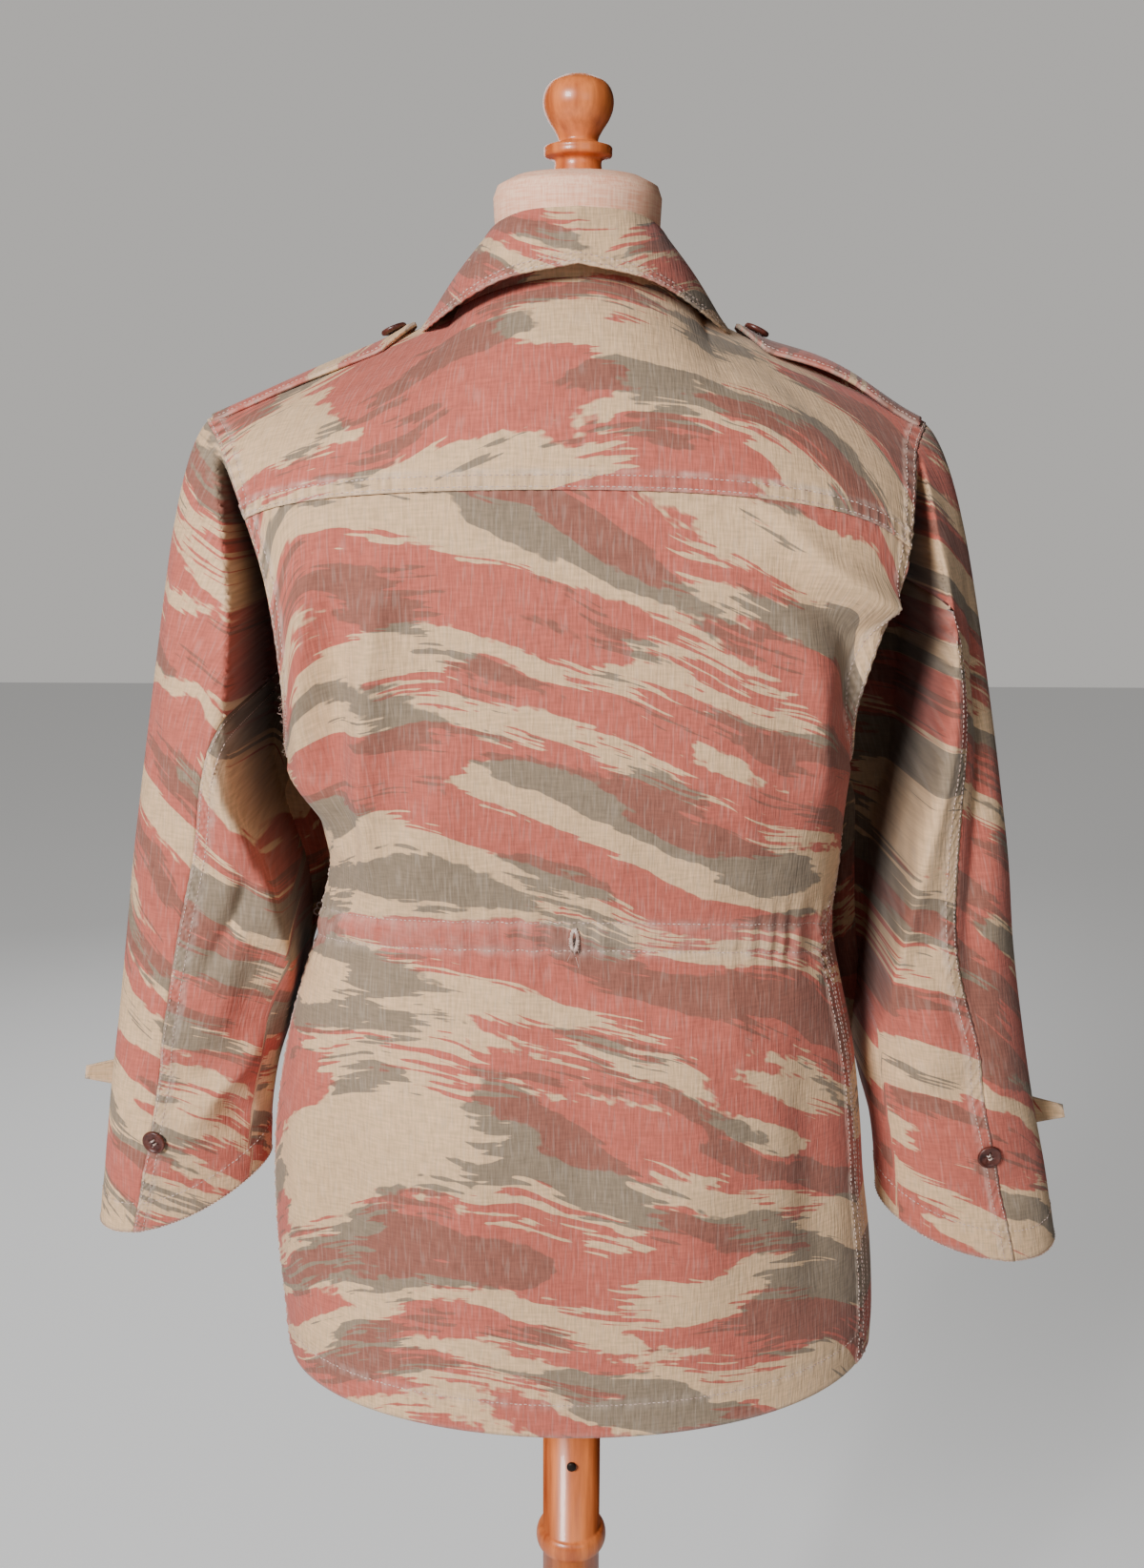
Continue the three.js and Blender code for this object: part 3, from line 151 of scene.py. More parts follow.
def cotton_print(name, tan, brick, grey, both):
    """The printed cotton, from the cloth's own UV map, which is in metres along its threads."""
    cloth, tree, shader = material(name, {
        "Roughness": 0.88, "Specular IOR Level": 0.25, "Sheen Weight": 0.12, "Sheen Roughness": 0.5})
    uv = add(tree, "ShaderNodeUVMap", {"uv_map": "cloth"}).outputs["UV"]

    def noise(at, scale, shift, detail=0.0, turn=0.0, roughness=0.5):
        place = add(tree, "ShaderNodeMapping", {}, {
            "Vector": at, "Location": shift, "Rotation": (0, 0, turn), "Scale": (*scale, 1)})
        return add(tree, "ShaderNodeTexNoise", {"noise_dimensions": "2D"}, {
            "Vector": place.outputs["Vector"], "Scale": 1.0, "Detail": detail,
            "Roughness": roughness}).outputs["Fac"]

    def sums(operation, *values):
        return add(tree, "ShaderNodeMath", {"operation": operation}, dict(enumerate(values))).outputs["Value"]

    def between(value, low, high, to=(0.0, 1.0)):
        """A value's place between low and high, as a place between two others."""
        return add(tree, "ShaderNodeMapRange", {}, {
            "Value": value, "From Min": low, "From Max": high,
            "To Min": to[0], "To Max": to[1]}).outputs["Result"]

    def mixed(factor, a, b, blend="MIX"):
        """Two colours mixed. A mix node's colours are its inputs 6 and 7 and its output 2."""
        settings = {"data_type": "RGBA", "blend_type": blend}
        return add(tree, "ShaderNodeMix", settings, {0: factor, 6: a, 7: b}).outputs[2]

    def shaded(colour, value):
        level = add(tree, "ShaderNodeCombineColor", {}, {"Red": value, "Green": value, "Blue": value})
        return mixed(1.0, colour, level.outputs["Color"], "MULTIPLY")

    # The strokes arch over each panel, and wave up and down by a few centimetres besides.
    side = add(tree, "ShaderNodeSeparateXYZ", {}, {"Vector": uv}).outputs["X"]
    side = sums("SUBTRACT", side, sums("ROUND", side))
    arch = sums("MULTIPLY", sums("MULTIPLY", side, side), ARCH)
    wave = sums("MULTIPLY_ADD", noise(uv, (3.4, 4.2), (4.1, 2.3, 0)), WAVE, -WAVE / 2)
    ripple = sums("MULTIPLY_ADD", noise(uv, (12.0, 12.0), (1.7, 8.2, 0), 1.0), RIPPLE, -RIPPLE / 2)
    lift = add(tree, "ShaderNodeCombineXYZ", {}, {"Y": sums("ADD", arch, sums("ADD", wave, ripple))})
    bent = add(tree, "ShaderNodeVectorMath", {"operation": "ADD"}, {0: uv, 1: lift.outputs["Vector"]})
    bent = bent.outputs["Vector"]

    def strokes(scale, shift, turn, level):
        """Where one colour's brush touched: long blobs whose ends break up into streaks."""
        body = noise(bent, scale, shift, 1.6, turn)
        streaks = noise(bent, (scale[0] * 3.6, 260.0), shift, 1.5, turn, 0.6)
        specks = noise(bent, (110.0, 190.0), shift, 1.0, turn)
        patchy = noise(bent, (scale[0] * 1.9, scale[1] * 1.2), (shift[1], shift[0], 0), 0.0, turn)
        reach = between(patchy, 0.42, 0.68, (0.05, 0.52))
        edge = sums("MULTIPLY_ADD", sums("SUBTRACT", streaks, 0.5), reach, body)
        edge = sums("MULTIPLY_ADD", sums("SUBTRACT", specks, 0.5), SPECKS, edge)
        return between(edge, level - STROKE_EDGE, level + STROKE_EDGE)

    brick_share, grey_share = strokes(**BRICK_STROKES), strokes(**GREY_STROKES)
    unbricked = mixed(grey_share, linear(tan), linear(grey))
    printed = mixed(brick_share, unbricked, mixed(grey_share, linear(brick), linear(both)))

    # Threads, drawn about 1.6 mm apart so that they show, with thicker pale slubs among them
    warp_threads = noise(uv, (640.0, 80.0), (0, 0, 0), 1.0)
    weft_threads = noise(uv, (90.0, 600.0), (5, 0, 0), 1.0)
    slubs = between(noise(uv, (620.0, 62.0), (0, 7, 0)), 0.58, 0.76)
    threads = sums("MULTIPLY_ADD", weft_threads, 0.38, sums("MULTIPLY_ADD", warp_threads, 0.42, 0.6))
    woven = mixed(sums("MULTIPLY", slubs, 0.08), shaded(printed, threads), linear(SLUB_COLOUR))

    # Worn pale along edges and stitched ridges, and dull in large soft patches. Painted shade
    # darkens the colour deep in the sleeve hollows and in the troughs of the stitch puckers.
    wear = add(tree, "ShaderNodeAttribute", {"attribute_name": "wear"}).outputs["Fac"]
    rubbed = sums("MULTIPLY", wear, sums("MULTIPLY_ADD", noise(uv, (95.0, 95.0), (2, 2, 0), 2.0), 1.5, -0.35))
    rubbed = add(tree, "ShaderNodeClamp", {}, {"Value": rubbed}).outputs["Result"]
    faded = mixed(sums("MULTIPLY", rubbed, 0.55), woven, linear(WORN_COLOUR))
    patches_and_painted_shade = sums("MULTIPLY_ADD", noise(uv, (7.0, 5.0), (6, 3, 0), 2.0), 0.24, 0.88)
    painted_shade = add(tree, "ShaderNodeAttribute", {"attribute_name": "painted_shade"}).outputs["Fac"]
    # Painted shade: the colour is made up to 62 percent darker where the cloth lies in shade.
    patches_and_painted_shade = sums("MULTIPLY", patches_and_painted_shade, sums("MULTIPLY_ADD", painted_shade, -0.62, 1.0))
    tree.links.new(shaded(faded, patches_and_painted_shade), shader.inputs["Base Color"])

    relief = sums("MULTIPLY_ADD", noise(uv, (46.0, 34.0), (1, 4, 0), 3.0), 1.6, warp_threads)
    bump = add(tree, "ShaderNodeBump", {}, {"Strength": 0.5, "Distance": 0.0007, "Height": relief})
    tree.links.new(bump.outputs["Normal"], shader.inputs["Normal"])
    return cloth


jacket_cloth = cotton_print("washed printed cotton twill", "#D5B088", "#B86152", "#887662", "#8E594B")


# ---- Back panel ----
# One piece from the yoke seam to the hem, cut off by the armholes above. A stitched drawcord
# channel gathers it at the waist, and the turned-up hem is stitched once.

BODY = {
    "z": [762, 800, 850, 900, 941, 999, 1050, 1083, 1138, 1196, 1240, 1300, 1340, 1390],
    "left": [206, 209, 212, 212, 209, 199, 185, 174, 180, 190, 196, 200, 205, 210],
    "right": [218, 218, 214, 207, 203, 195, 183, 176, 178, 182, 190, 195, 200, 205],
    "back": [124, 122, 120, 118, 116, 111, 103, 99, 108, 118, 122, 122, 119, 114],
    "front": [128, 130, 132, 132, 131, 130, 127, 124, 130, 139, 144, 146, 143, 136],
    "power": [2.05, 2.1, 2.15, 2.2, 2.25, 2.35, 2.5, 2.6, 2.85, 3, 3, 3, 2.9, 2.7],
}
DROOP = {"z": [762, 1000, 1100, 1250, 1377], "left": [0, 10, 18, 9, 20], "right": [-9, 10, 18, 9, 36]}
ARMHOLE = {
    "left": [236, 222, 205, 190, 183, 182, 187, 190, 187, 181, 177, 182, 200, 221],
    "right": [223, 212, 206, 199, 184, 175, 179, 182, 179, 174, 170, 177, 195, 210],
    "y": [6, 38, 66, 81, 85, 72, 40, 0, -40, -74, -92, -90, -70, -34],
    "z": [1416, 1399, 1366, 1325, 1282, 1238, 1206, 1196, 1204, 1234, 1278, 1322, 1364, 1399],
}
SIDE_SEAM_Y = {1: 10, -1: 44}
HEM, UNDERARM, YOKE_SEAM, CHEST = 762, 1196, 1377, 1330
ARMHOLE_PULL, ARMHOLE_TURN, DROOP_POWER = 1.5, 0.6, 2.2
CLOTH = 1.3
SIDES = {1: "left", -1: "right"}


def hermite(p, q, slope_p, slope_q, t):
    t2, t3 = t * t, t * t * t
    return p * (2 * t3 - 3 * t2 + 1) + slope_p * (t3 - 2 * t2 + t) + q * (3 * t2 - 2 * t3) + slope_q * (t3 - t2)


def slopes(points, place):
    """A smooth curve through the middle two of each four points, by the shares between them."""
    a, b, c, d = points
    return hermite(b, c, (c - a) / 2, (d - b) / 2, place[..., None])


def read(table, name, at):
    """A smooth value from one column of a table that its first column sorts."""
    x = np.array(next(iter(table.values())), float)
    y = np.array(table[name], float)
    slope = np.empty_like(y)
    slope[1:-1] = (y[2:] - y[:-2]) / (x[2:] - x[:-2])
    slope[0], slope[-1] = (y[1] - y[0]) / (x[1] - x[0]), (y[-1] - y[-2]) / (x[-1] - x[-2])
    value = np.clip(at, x[0], x[-1])
    i = np.clip(np.searchsorted(x, value, "left") - 1, 0, len(x) - 2)
    span = x[i + 1] - x[i]
    return hermite(y[i], y[i + 1], slope[i] * span, slope[i + 1] * span, (value - x[i]) / span)


def smooth(value, low, high):
    t = np.clip((np.asarray(value, float) - low) / (high - low), 0, 1)
    return t * t * (3 - 2 * t)


def unit(vectors):
    return vectors / np.maximum(np.linalg.norm(vectors, axis=-1, keepdims=True), 1e-9)


def stack(x, y, z):
    return np.stack(np.broadcast_arrays(x, y, z), -1).astype(float)


def near(value, at, width):
    """1 where a value is at a place, fading to nothing over about a width on both sides."""
    return np.exp(-((value - at) / width) ** 2)


def nearest(values, at):
    return int(np.argmin(np.abs(values - at)))


def spaced(*stretches):
    """Even values over each stretch (first, last, count), where each begins as the last ends."""
    rows = [np.linspace(*stretch) for stretch in stretches]
    return np.concatenate([rows[0], *(row[1:] for row in rows[1:])])


def armhole(side, turn):
    """A point of the armhole: turn 0 is the shoulder tip, 0.25 the back, 0.5 the underarm."""
    points = stack(side * np.array(ARMHOLE[SIDES[side]]), ARMHOLE["y"], ARMHOLE["z"])
    count = len(points)
    place = (np.asarray(turn, float) % 1) * count
    i = np.floor(place).astype(int)
    return slopes([points[(i + k) % count] for k in (-1, 0, 1, 2)], place - i)


def armhole_turn(side, face, z):
    turns = np.linspace(0 if face > 0 else 1, 0.5, 2001)
    heights = armhole(side, turns)[:, 2]
    return np.interp(z, heights[::-1], turns[::-1])


def body_depth(face, z):
    return read(BODY, "back" if face > 0 else "front", z)


def half_width(side, face, z):
    edge = armhole(side, armhole_turn(side, face, z))
    power = read(BODY, "power", z)
    share = np.minimum(np.abs(edge[..., 1]) / body_depth(face, z), 0.98)
    above = np.abs(edge[..., 0]) / (1 - share ** power) ** (1 / power)
    return np.where(np.asarray(z) <= UNDERARM, read(BODY, SIDES[side], z), above)


def roundness(angle, power):
    return (np.abs(np.cos(angle)) ** power + np.abs(np.sin(angle)) ** power) ** (-1 / power)


def body_point(side, face, angle, z):
    round_ = roundness(angle, read(BODY, "power", z))
    x = side * half_width(side, face, z) * np.cos(angle) * round_
    return stack(x, body_depth(face, z) * np.sin(angle) * round_, z)


def armhole_pull(side, face, z, reach):
    edge = armhole(side, armhole_turn(side, face, z))
    cut = np.arctan2(
        np.abs(edge[..., 1]) / body_depth(face, z), np.abs(edge[..., 0]) / half_width(side, face, z))
    cut = np.where(np.asarray(z) <= UNDERARM, 0, cut)
    gradual = ARMHOLE_TURN * smooth(z, UNDERARM - 110, UNDERARM + 90)
    share = smooth(reach, 0.6, 1)
    return (gradual * (1 - share) + cut * share) * reach ** ARMHOLE_PULL


def seam_angle(side, z):
    return np.arcsin(SIDE_SEAM_Y[side] * smooth(UNDERARM - np.asarray(z, float), 0, 110) / body_depth(1, z))


def half_back(side, reach, level):
    z = level - read(DROOP, SIDES[side], level)
    angle = np.pi / 2 - reach * (np.pi / 2 - seam_angle(side, z)) + armhole_pull(side, 1, z, reach)
    return body_point(side, 1, angle, level - read(DROOP, SIDES[side], level) * reach ** DROOP_POWER)


def back_at(u, level):
    """The back, from its right edge (-1) to its left one (1), at a level of the middle."""
    u, level = np.broadcast_arrays(np.asarray(u, float), np.asarray(level, float))
    return np.where((u >= 0)[..., None], half_back(1, np.abs(u), level), half_back(-1, np.abs(u), level))


UNDERARM_LEVEL = UNDERARM
for _ in range(20):
    UNDERARM_LEVEL = UNDERARM + float(read(DROOP, "left", UNDERARM_LEVEL))


def fallen_in(points):
    """Under the left armhole the side falls in, so that the cloth there lies in deep shade."""
    x, y, z = points[..., 0], points[..., 1], points[..., 2]
    level = smooth(z, 1080, 1140) * (1 - smooth(z, 1160, 1196))
    return stack(-15 * level * smooth(x, 110, 170) * smooth(y, -130, -60), 0, 0)


def on_line(a, b, start, end):
    """How far along the line from start to end each place (a, b) is, as a share, and how far away."""
    (x0, z0), (x1, z1) = start, end
    dx, dz = x1 - x0, z1 - z0
    share = np.clip(((a - x0) * dx + (b - z0) * dz) / (dx * dx + dz * dz), 0, 1)
    return share, np.hypot(a - x0 - share * dx, b - z0 - share * dz)


def line_at(points, distance, at):
    """One point from each row of a grid, where the distance from an edge has a value."""
    line = []
    for row, away in zip(points, distance):
        order = np.argsort(away)
        line.append([np.interp(at, away[order], row[order, k]) for k in range(3)])
    return np.array(line)


class Cloth:
    """A panel as a grid of points with the outward direction and the distance from each edge."""

    def __init__(self, points, hint):
        self.points = points
        across, along = np.gradient(points, axis=1), np.gradient(points, axis=0)
        normal = unit(np.cross(across, along))
        flip = np.sign((normal * hint).sum(-1).mean()) or 1
        self.normals = normal * flip
        steps = np.linalg.norm(np.diff(points, axis=1), axis=-1)
        self.start = np.pad(np.cumsum(steps, axis=1), ((0, 0), (1, 0)))
        self.end = self.start[:, -1:] - self.start
        steps = np.linalg.norm(np.diff(points, axis=0), axis=-1)
        self.bottom = np.pad(np.cumsum(steps, axis=0), ((1, 0), (0, 0)))
        self.top = self.bottom[-1:] - self.bottom
        self.height = np.zeros(points.shape[:2])
        self.wear = np.zeros(points.shape[:2])
        # How much painted shade darkens the cloth's colour at each point
        self.painted_shade = np.zeros(points.shape[:2])
        self.shove = np.zeros(points.shape)
    def from_middle(self):
        """The distance across the panel from its middle column."""
        middle = self.start.shape[1] // 2
        return self.start - self.start[:, middle:middle + 1]

    def band(self, distance, width, height):
        """A doubled strip along an edge, with its step worn pale."""
        self.height += height * (1 - smooth(distance, width - 0.6, width + 0.9))
        self.wear += np.exp(-((distance - width) / 1.6) ** 2) + np.exp(-(distance / 1.8) ** 2)

    def row_dimples(self, distance, at, along, pitch, depth):
        """A row of stitches pulls the cloth in and puckers it on both sides."""
        away = (distance - at) / 3.2
        self.height -= depth * np.exp(-away * away)
        pucker = np.sin(2 * np.pi * along / pitch + 1.7 * np.sin(along / (pitch * 1.9)))
        self.height += 1.3 * depth * pucker * np.exp(-(away * 0.62) ** 2)
        self.wear += 0.5 * np.maximum(pucker, 0) * np.exp(-(away * 0.75) ** 2)
        # Painted shade in the pucker troughs: their colour is darkened where shade falls.
        self.painted_shade += 0.42 * np.maximum(-pucker, 0) * np.exp(-(away * 0.9) ** 2)

    def crease(self, places, lines):
        """Soft ridges (height above 0) and troughs: x0, z0, x1, z1, width, height, and how sharp."""
        for x0, z0, x1, z1, width, height, sharp in lines:
            share, away = on_line(*places, (x0, z0), (x1, z1))
            self.height += height * np.sin(np.pi * share) * np.exp(-np.abs(away / width) ** sharp)

    def fold(self, places, paths):
        """Longer folds, each a width, a sharpness and a path of points with a height at each one."""
        for width, sharp, *path in paths:
            best = np.zeros_like(self.height)
            for (*start, h0), (*end, h1) in zip(path, path[1:]):
                share, away = on_line(*places, start, end)
                here = (h0 + (h1 - h0) * share) * np.exp(-(away / width) ** sharp)
                best = np.where(np.abs(here) > np.abs(best), here, best)
            self.height += best

    def lifted(self, lift):
        """The outer surface, moved off the cloth by a lift."""
        return self.points + self.shove + self.normals * self.height[..., None] + self.normals * lift

    def at_distance(self, distance, at, lift, rows=slice(None)):
        """The line at a distance from an edge that runs along the grid's rows."""
        return line_at(self.lifted(lift)[rows], distance[rows], at)

    def at_level(self, distance, at, lift, columns=slice(None)):
        """The line at a distance from an edge that runs along the grid's columns."""
        return line_at(self.lifted(lift)[:, columns].transpose(1, 0, 2), distance[:, columns].T, at)


def add_piece(name, mesh, nodes=()):
    """Makes a mesh a named piece of the part, in place of the CAD nodes that it stands for."""
    made = put(name, mesh)
    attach(made, "root")
    if nodes:
        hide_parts(*nodes)
    return made


def sew(name, cloth, nodes, shift=(0, 0), thickness=CLOTH, uv=None):
    """Makes a cloth panel a closed thin shell, with its UV map in metres along its threads."""
    rows, columns = cloth.height.shape
    outer = cloth.lifted(0)
    inner = outer - cloth.normals * thickness
    flat = np.concatenate([outer.reshape(-1, 3), inner.reshape(-1, 3)]) * 0.001
    grid = np.arange(rows * columns).reshape(rows, columns)
    a, b, c, d = grid[:-1, :-1], grid[:-1, 1:], grid[1:, 1:], grid[1:, :-1]
    quads = np.stack([a, b, c, d], -1).reshape(-1, 4)
    corner = rows // 2, columns // 2
    p, q, r = (outer[corner], outer[corner[0], corner[1] + 1], outer[corner[0] + 1, corner[1]])
    turned = np.dot(np.cross(q - p, r - p), cloth.normals[corner]) < 0
    if turned:
        quads = quads[:, ::-1]
    inside = quads[:, ::-1] + rows * columns
    rim = np.concatenate([grid[0, :-1], grid[:-1, -1], grid[-1, :0:-1], grid[:0:-1, 0]])
    following = np.roll(rim, -1)
    walls = np.stack([rim, rim + rows * columns, following + rows * columns, following], -1)
    if turned:
        walls = walls[:, ::-1]
    faces = np.concatenate([quads, inside, walls])
    mesh = bpy.data.meshes.new(name)
    mesh.from_pydata(flat.tolist(), [], faces.tolist())
    if uv is None:
        uv = np.stack([cloth.from_middle(), cloth.bottom], -1)
    uv = uv.reshape(-1, 2) * 0.001 + shift
    uv = np.concatenate([uv, uv])
    layer = mesh.uv_layers.new(name="cloth")
    layer.data.foreach_set("uv", uv[faces.reshape(-1)].reshape(-1))
    # wear is the cloth's real wear; the other attribute is painted shade that darkens its colour
    for attribute, values in (("wear", cloth.wear), ("painted_shade", cloth.painted_shade)):
        layer = mesh.attributes.new(attribute, "FLOAT", "POINT")
        layer.data.foreach_set("value", np.tile(np.clip(values, 0, 1).reshape(-1), 2))
    mesh.polygons.foreach_set("use_smooth", np.ones(len(faces), bool))
    mesh.materials.append(jacket_cloth)
    mesh.update()
    made = add_piece(name, mesh, nodes)
    cell = np.cross(outer[1:, :-1] - outer[:-1, :-1], outer[:-1, 1:] - outer[:-1, :-1])
    cell = np.linalg.norm(cell, axis=-1)


def panel_levels(counts, top):
    """Levels up a body panel, close together at the hem, the channel and the underarm."""
    low, skirt, waist, side, upper = counts
    below = spaced((HEM, 800, low), (800, 1070, skirt), (1070, 1130, waist), (1130, UNDERARM_LEVEL, side))
    steps = UNDERARM_LEVEL + np.array([1.5, 3, 5, 8, 12, 17, 23])
    return np.concatenate([below, steps, np.linspace(UNDERARM_LEVEL + 28, top, upper)])


back_u = spaced((-1, -0.93, 14), (-0.93, 0, 66), (0, 0.93, 66), (0.93, 1, 14))
back_levels = panel_levels((16, 62, 38, 20, 44), YOKE_SEAM)
grid_u, grid_level = np.meshgrid(back_u, back_levels)
back = Cloth(back_at(grid_u, grid_level), (0, 1, 0))

BACK_CREASES = [
    (60, 1060, 74, 800, 26, 5, 2), (-70, 1060, -84, 790, 28, 5, 2), (0, 1050, -8, 820, 20, -3.5, 2),
    (-150, 1050, -172, 800, 16, -6, 2), (140, 1050, 162, 800, 16, -5.5, 2), (176, 1040, 190, 810, 12, 4, 2),
    (30, 1085, 52, 1010, 9, 2, 1.6), (-40, 1085, -58, 1020, 9, -2, 1.6), (-96, 1085, -110, 1000, 10, 2.4, 1.6),
    (112, 1085, 128, 1015, 9, 2.2, 1.6), (84, 1130, 70, 1200, 9, 1.8, 1.6), (-30, 1118, -22, 1190, 9, 1.6, 1.6),
    (-112, 1125, -100, 1215, 10, 2.2, 1.6), (-146, 1120, -150, 1210, 8, -2.4, 1.6),
    (20, 1120, 34, 1180, 8, -1.5, 1.6),
]
# From the yoke, two ridges fall beside the left armhole. On the right the cloth is drawn to a
# pouch that hangs over the armhole.
BACK_FOLDS = [
    (12, 1.5, (112, 1345, 0), (117, 1306, 8), (126, 1225, 11), (134, 1150, 7), (137, 1118, 0)),
    (10, 1.5, (158, 1335, 0), (162, 1299, 8), (166, 1230, 9), (168, 1170, 5), (166, 1130, 0)),
    (12, 2, (140, 1340, 0), (145, 1290, -8), (150, 1200, -9), (152, 1135, 0)),
    (11, 1.5, (-104, 1372, 0), (-126, 1352, 6), (-146, 1330, 11), (-176, 1312, 14), (-190, 1306, 14)),
    (13, 2, (-112, 1345, 0), (-140, 1318, -8), (-168, 1288, -12), (-176, 1250, -9), (-176, 1210, 0)),
    (12, 1.6, (-128, 1300, 0), (-146, 1262, 7), (-150, 1200, 8), (-146, 1130, 0)),
    (14, 1.8, (60, 1250, 0), (84, 1200, 3), (96, 1150, 4), (100, 1116, 0)),
    (12, 1.8, (-60, 1210, 0), (-80, 1170, 3), (-88, 1116, 0)),
]
back.shove = fallen_in(back.points)
x, z = back.points[..., 0], back.points[..., 2]
edge_fade = smooth(1 - np.abs(grid_u), 0, 0.11)
back.crease((x, z), BACK_CREASES)
back.fold((x, z), BACK_FOLDS)
back.height *= edge_fade

# The drawcord channel: two stitch rows 19 mm apart, the cloth between and beside them gathered.
CHANNEL, CHANNEL_LEVEL, CHANNEL_SPREAD = (1110, 1091), 1100, 24
across = back.from_middle()
gather = np.sin(across / 2.1 + 2.2 * np.sin(across / 17) + 1.3 * np.sin(across / 7.3))
swell = 0.55 + 0.45 * np.sin(across / 31 + 0.6)
back.height += 1.7 * near(grid_level, CHANNEL_LEVEL, CHANNEL_SPREAD) * gather * swell * edge_fade
back.height += 0.9 * near(grid_level, sum(CHANNEL) / 2, 7)
for level in CHANNEL:
    back.height -= 0.9 * near(grid_level, level, 2.2)
    back.wear += (0.35 + 0.4 * np.maximum(gather, 0)) * near(grid_level, level, 3.2)
back.wear += 0.35 * near(grid_level, CHANNEL_LEVEL, 12)

HEM_TURN = 23
back.row_dimples(back.bottom, HEM_TURN, across, 8.5, 0.45)
back.height += 0.5 * (1 - smooth(back.bottom, HEM_TURN, HEM_TURN + 1.5))
back.wear += 0.8 * near(back.bottom, 0, 2.2) + 0.4 * near(back.bottom, HEM_TURN, 3)

# The side seams are felled, and the armhole's edge is folded over and stitched down.
FELL_WIDTH, FELL_ROWS = 9.5, (1.8, 8.0)


def fell(cloth):
    """Felled seams on both sides of a panel, each a doubled strip with two rows of stitches."""
    for distance in (cloth.start, cloth.end):
        cloth.band(distance, FELL_WIDTH, 0.8)
        for at in FELL_ROWS:
            cloth.row_dimples(distance, at, cloth.bottom, 9.0, 0.28)


fell(back)
back.row_dimples(back.top, 1.2, across, 9.0, 0.2)
sew("back", back, ["back_panel", "side_seam_left", "side_seam_right"], (-0.07, 0.0))


# ---- Thread ----
# Pinkish-white cotton, three to the centimetre. Each stitch is a short bead sunk into the cloth,
# drawn a little thicker than the real 0.4 mm so that it shows.

STITCH_LIFT = 0.15


def tint(tree, value, low, high, ends=(0, 1)):
    """Runs a base colour from low to high, as a value goes from one end to the other."""
    ramp = add(tree, "ShaderNodeValToRGB", {}, {"Fac": value})
    for element, place, colour in zip(ramp.color_ramp.elements, ends, (low, high)):
        element.position, element.color = place, linear(colour)
    tree.links.new(ramp.outputs["Color"], tree.nodes["Principled BSDF"].inputs["Base Color"])


def mottled(name, roughness, scale, detail, low, high, ends=(0, 1)):
    """A material whose colour varies in small even spots."""
    made, tree, _ = material(name, {"Roughness": roughness})
    place = add(tree, "ShaderNodeTexCoord").outputs["Object"]
    spots = add(tree, "ShaderNodeTexNoise", {}, {"Vector": place, "Scale": scale, "Detail": detail})
    tint(tree, spots.outputs["Fac"], low, high, ends)
    return made


thread = mottled("faded cotton thread", 0.8, 240.0, 2.0, "#A98476", "#DCC6BA", (0.3, 0.65))

stitch_tree = bpy.data.node_groups.new("stitch rows", "GeometryNodeTree")
stitch_tree.is_modifier = True
face = stitch_tree.interface
face.new_socket("Geometry", in_out="INPUT", socket_type="NodeSocketGeometry")
stitch_inputs = {}
for name, value in (("Pitch", 0.0032), ("Stitch", 0.0025), ("Thread", 0.0007)):
    socket = face.new_socket(name, in_out="INPUT", socket_type="NodeSocketFloat")
    socket.default_value = value
    stitch_inputs[name] = socket.identifier
face.new_socket("Geometry", in_out="OUTPUT", socket_type="NodeSocketGeometry")
given = stitch_tree.nodes.new("NodeGroupInput")
result = stitch_tree.nodes.new("NodeGroupOutput")
line = add(stitch_tree, "GeometryNodeMeshToCurve", {}, {"Mesh": given.outputs["Geometry"]})
even = add(stitch_tree, "GeometryNodeResampleCurve", {"mode": "LENGTH"}, {
    "Curve": line.outputs["Curve"], "Length": given.outputs["Pitch"]})
tangent = add(stitch_tree, "GeometryNodeInputTangent").outputs["Tangent"]
heading = add(stitch_tree, "FunctionNodeAlignRotationToVector", {"axis": "X"}, {"Vector": tangent})
bead = add(stitch_tree, "GeometryNodeMeshUVSphere", {}, {"Segments": 5, "Rings": 4, "Radius": 0.5})
size = add(stitch_tree, "ShaderNodeCombineXYZ", {}, {
    "X": given.outputs["Stitch"], "Y": given.outputs["Thread"], "Z": given.outputs["Thread"]})
placed = add(stitch_tree, "GeometryNodeInstanceOnPoints", {}, {
    "Points": even.outputs["Curve"], "Instance": bead.outputs["Mesh"],
    "Rotation": heading.outputs["Rotation"], "Scale": size.outputs["Vector"]})
real = add(stitch_tree, "GeometryNodeRealizeInstances", {}, {"Geometry": placed.outputs["Instances"]})
dressed = add(stitch_tree, "GeometryNodeSetMaterial", {}, {
    "Geometry": real.outputs["Geometry"], "Material": thread})
stitch_tree.links.new(dressed.outputs["Geometry"], result.inputs["Geometry"])


def stitch(name, lines, pitch=3.2, length=2.3, thick=0.7):
    """Runs rows of stitches along lines of points, as one mesh."""
    points, edges = [], []
    for row in lines:
        first = len(points)
        points += (np.asarray(row) * 0.001).tolist()
        edges += [(i, i + 1) for i in range(first, len(points) - 1)]
    path = bpy.data.meshes.new(name + " path")
    path.from_pydata(points, edges, [])
    carrier = put(name + " path", path)
    modifier = carrier.modifiers.new("stitches", "NODES")
    modifier.node_group = stitch_tree
    for key, value in (("Pitch", pitch), ("Stitch", length), ("Thread", thick)):
        modifier[stitch_inputs[key]] = value * 0.001
    bpy.context.view_layer.update()
    seen = carrier.evaluated_get(bpy.context.evaluated_depsgraph_get())
    mesh = bpy.data.meshes.new_from_object(seen)
    bpy.data.objects.remove(carrier)
    mesh.name = name
    add_piece(name, mesh)


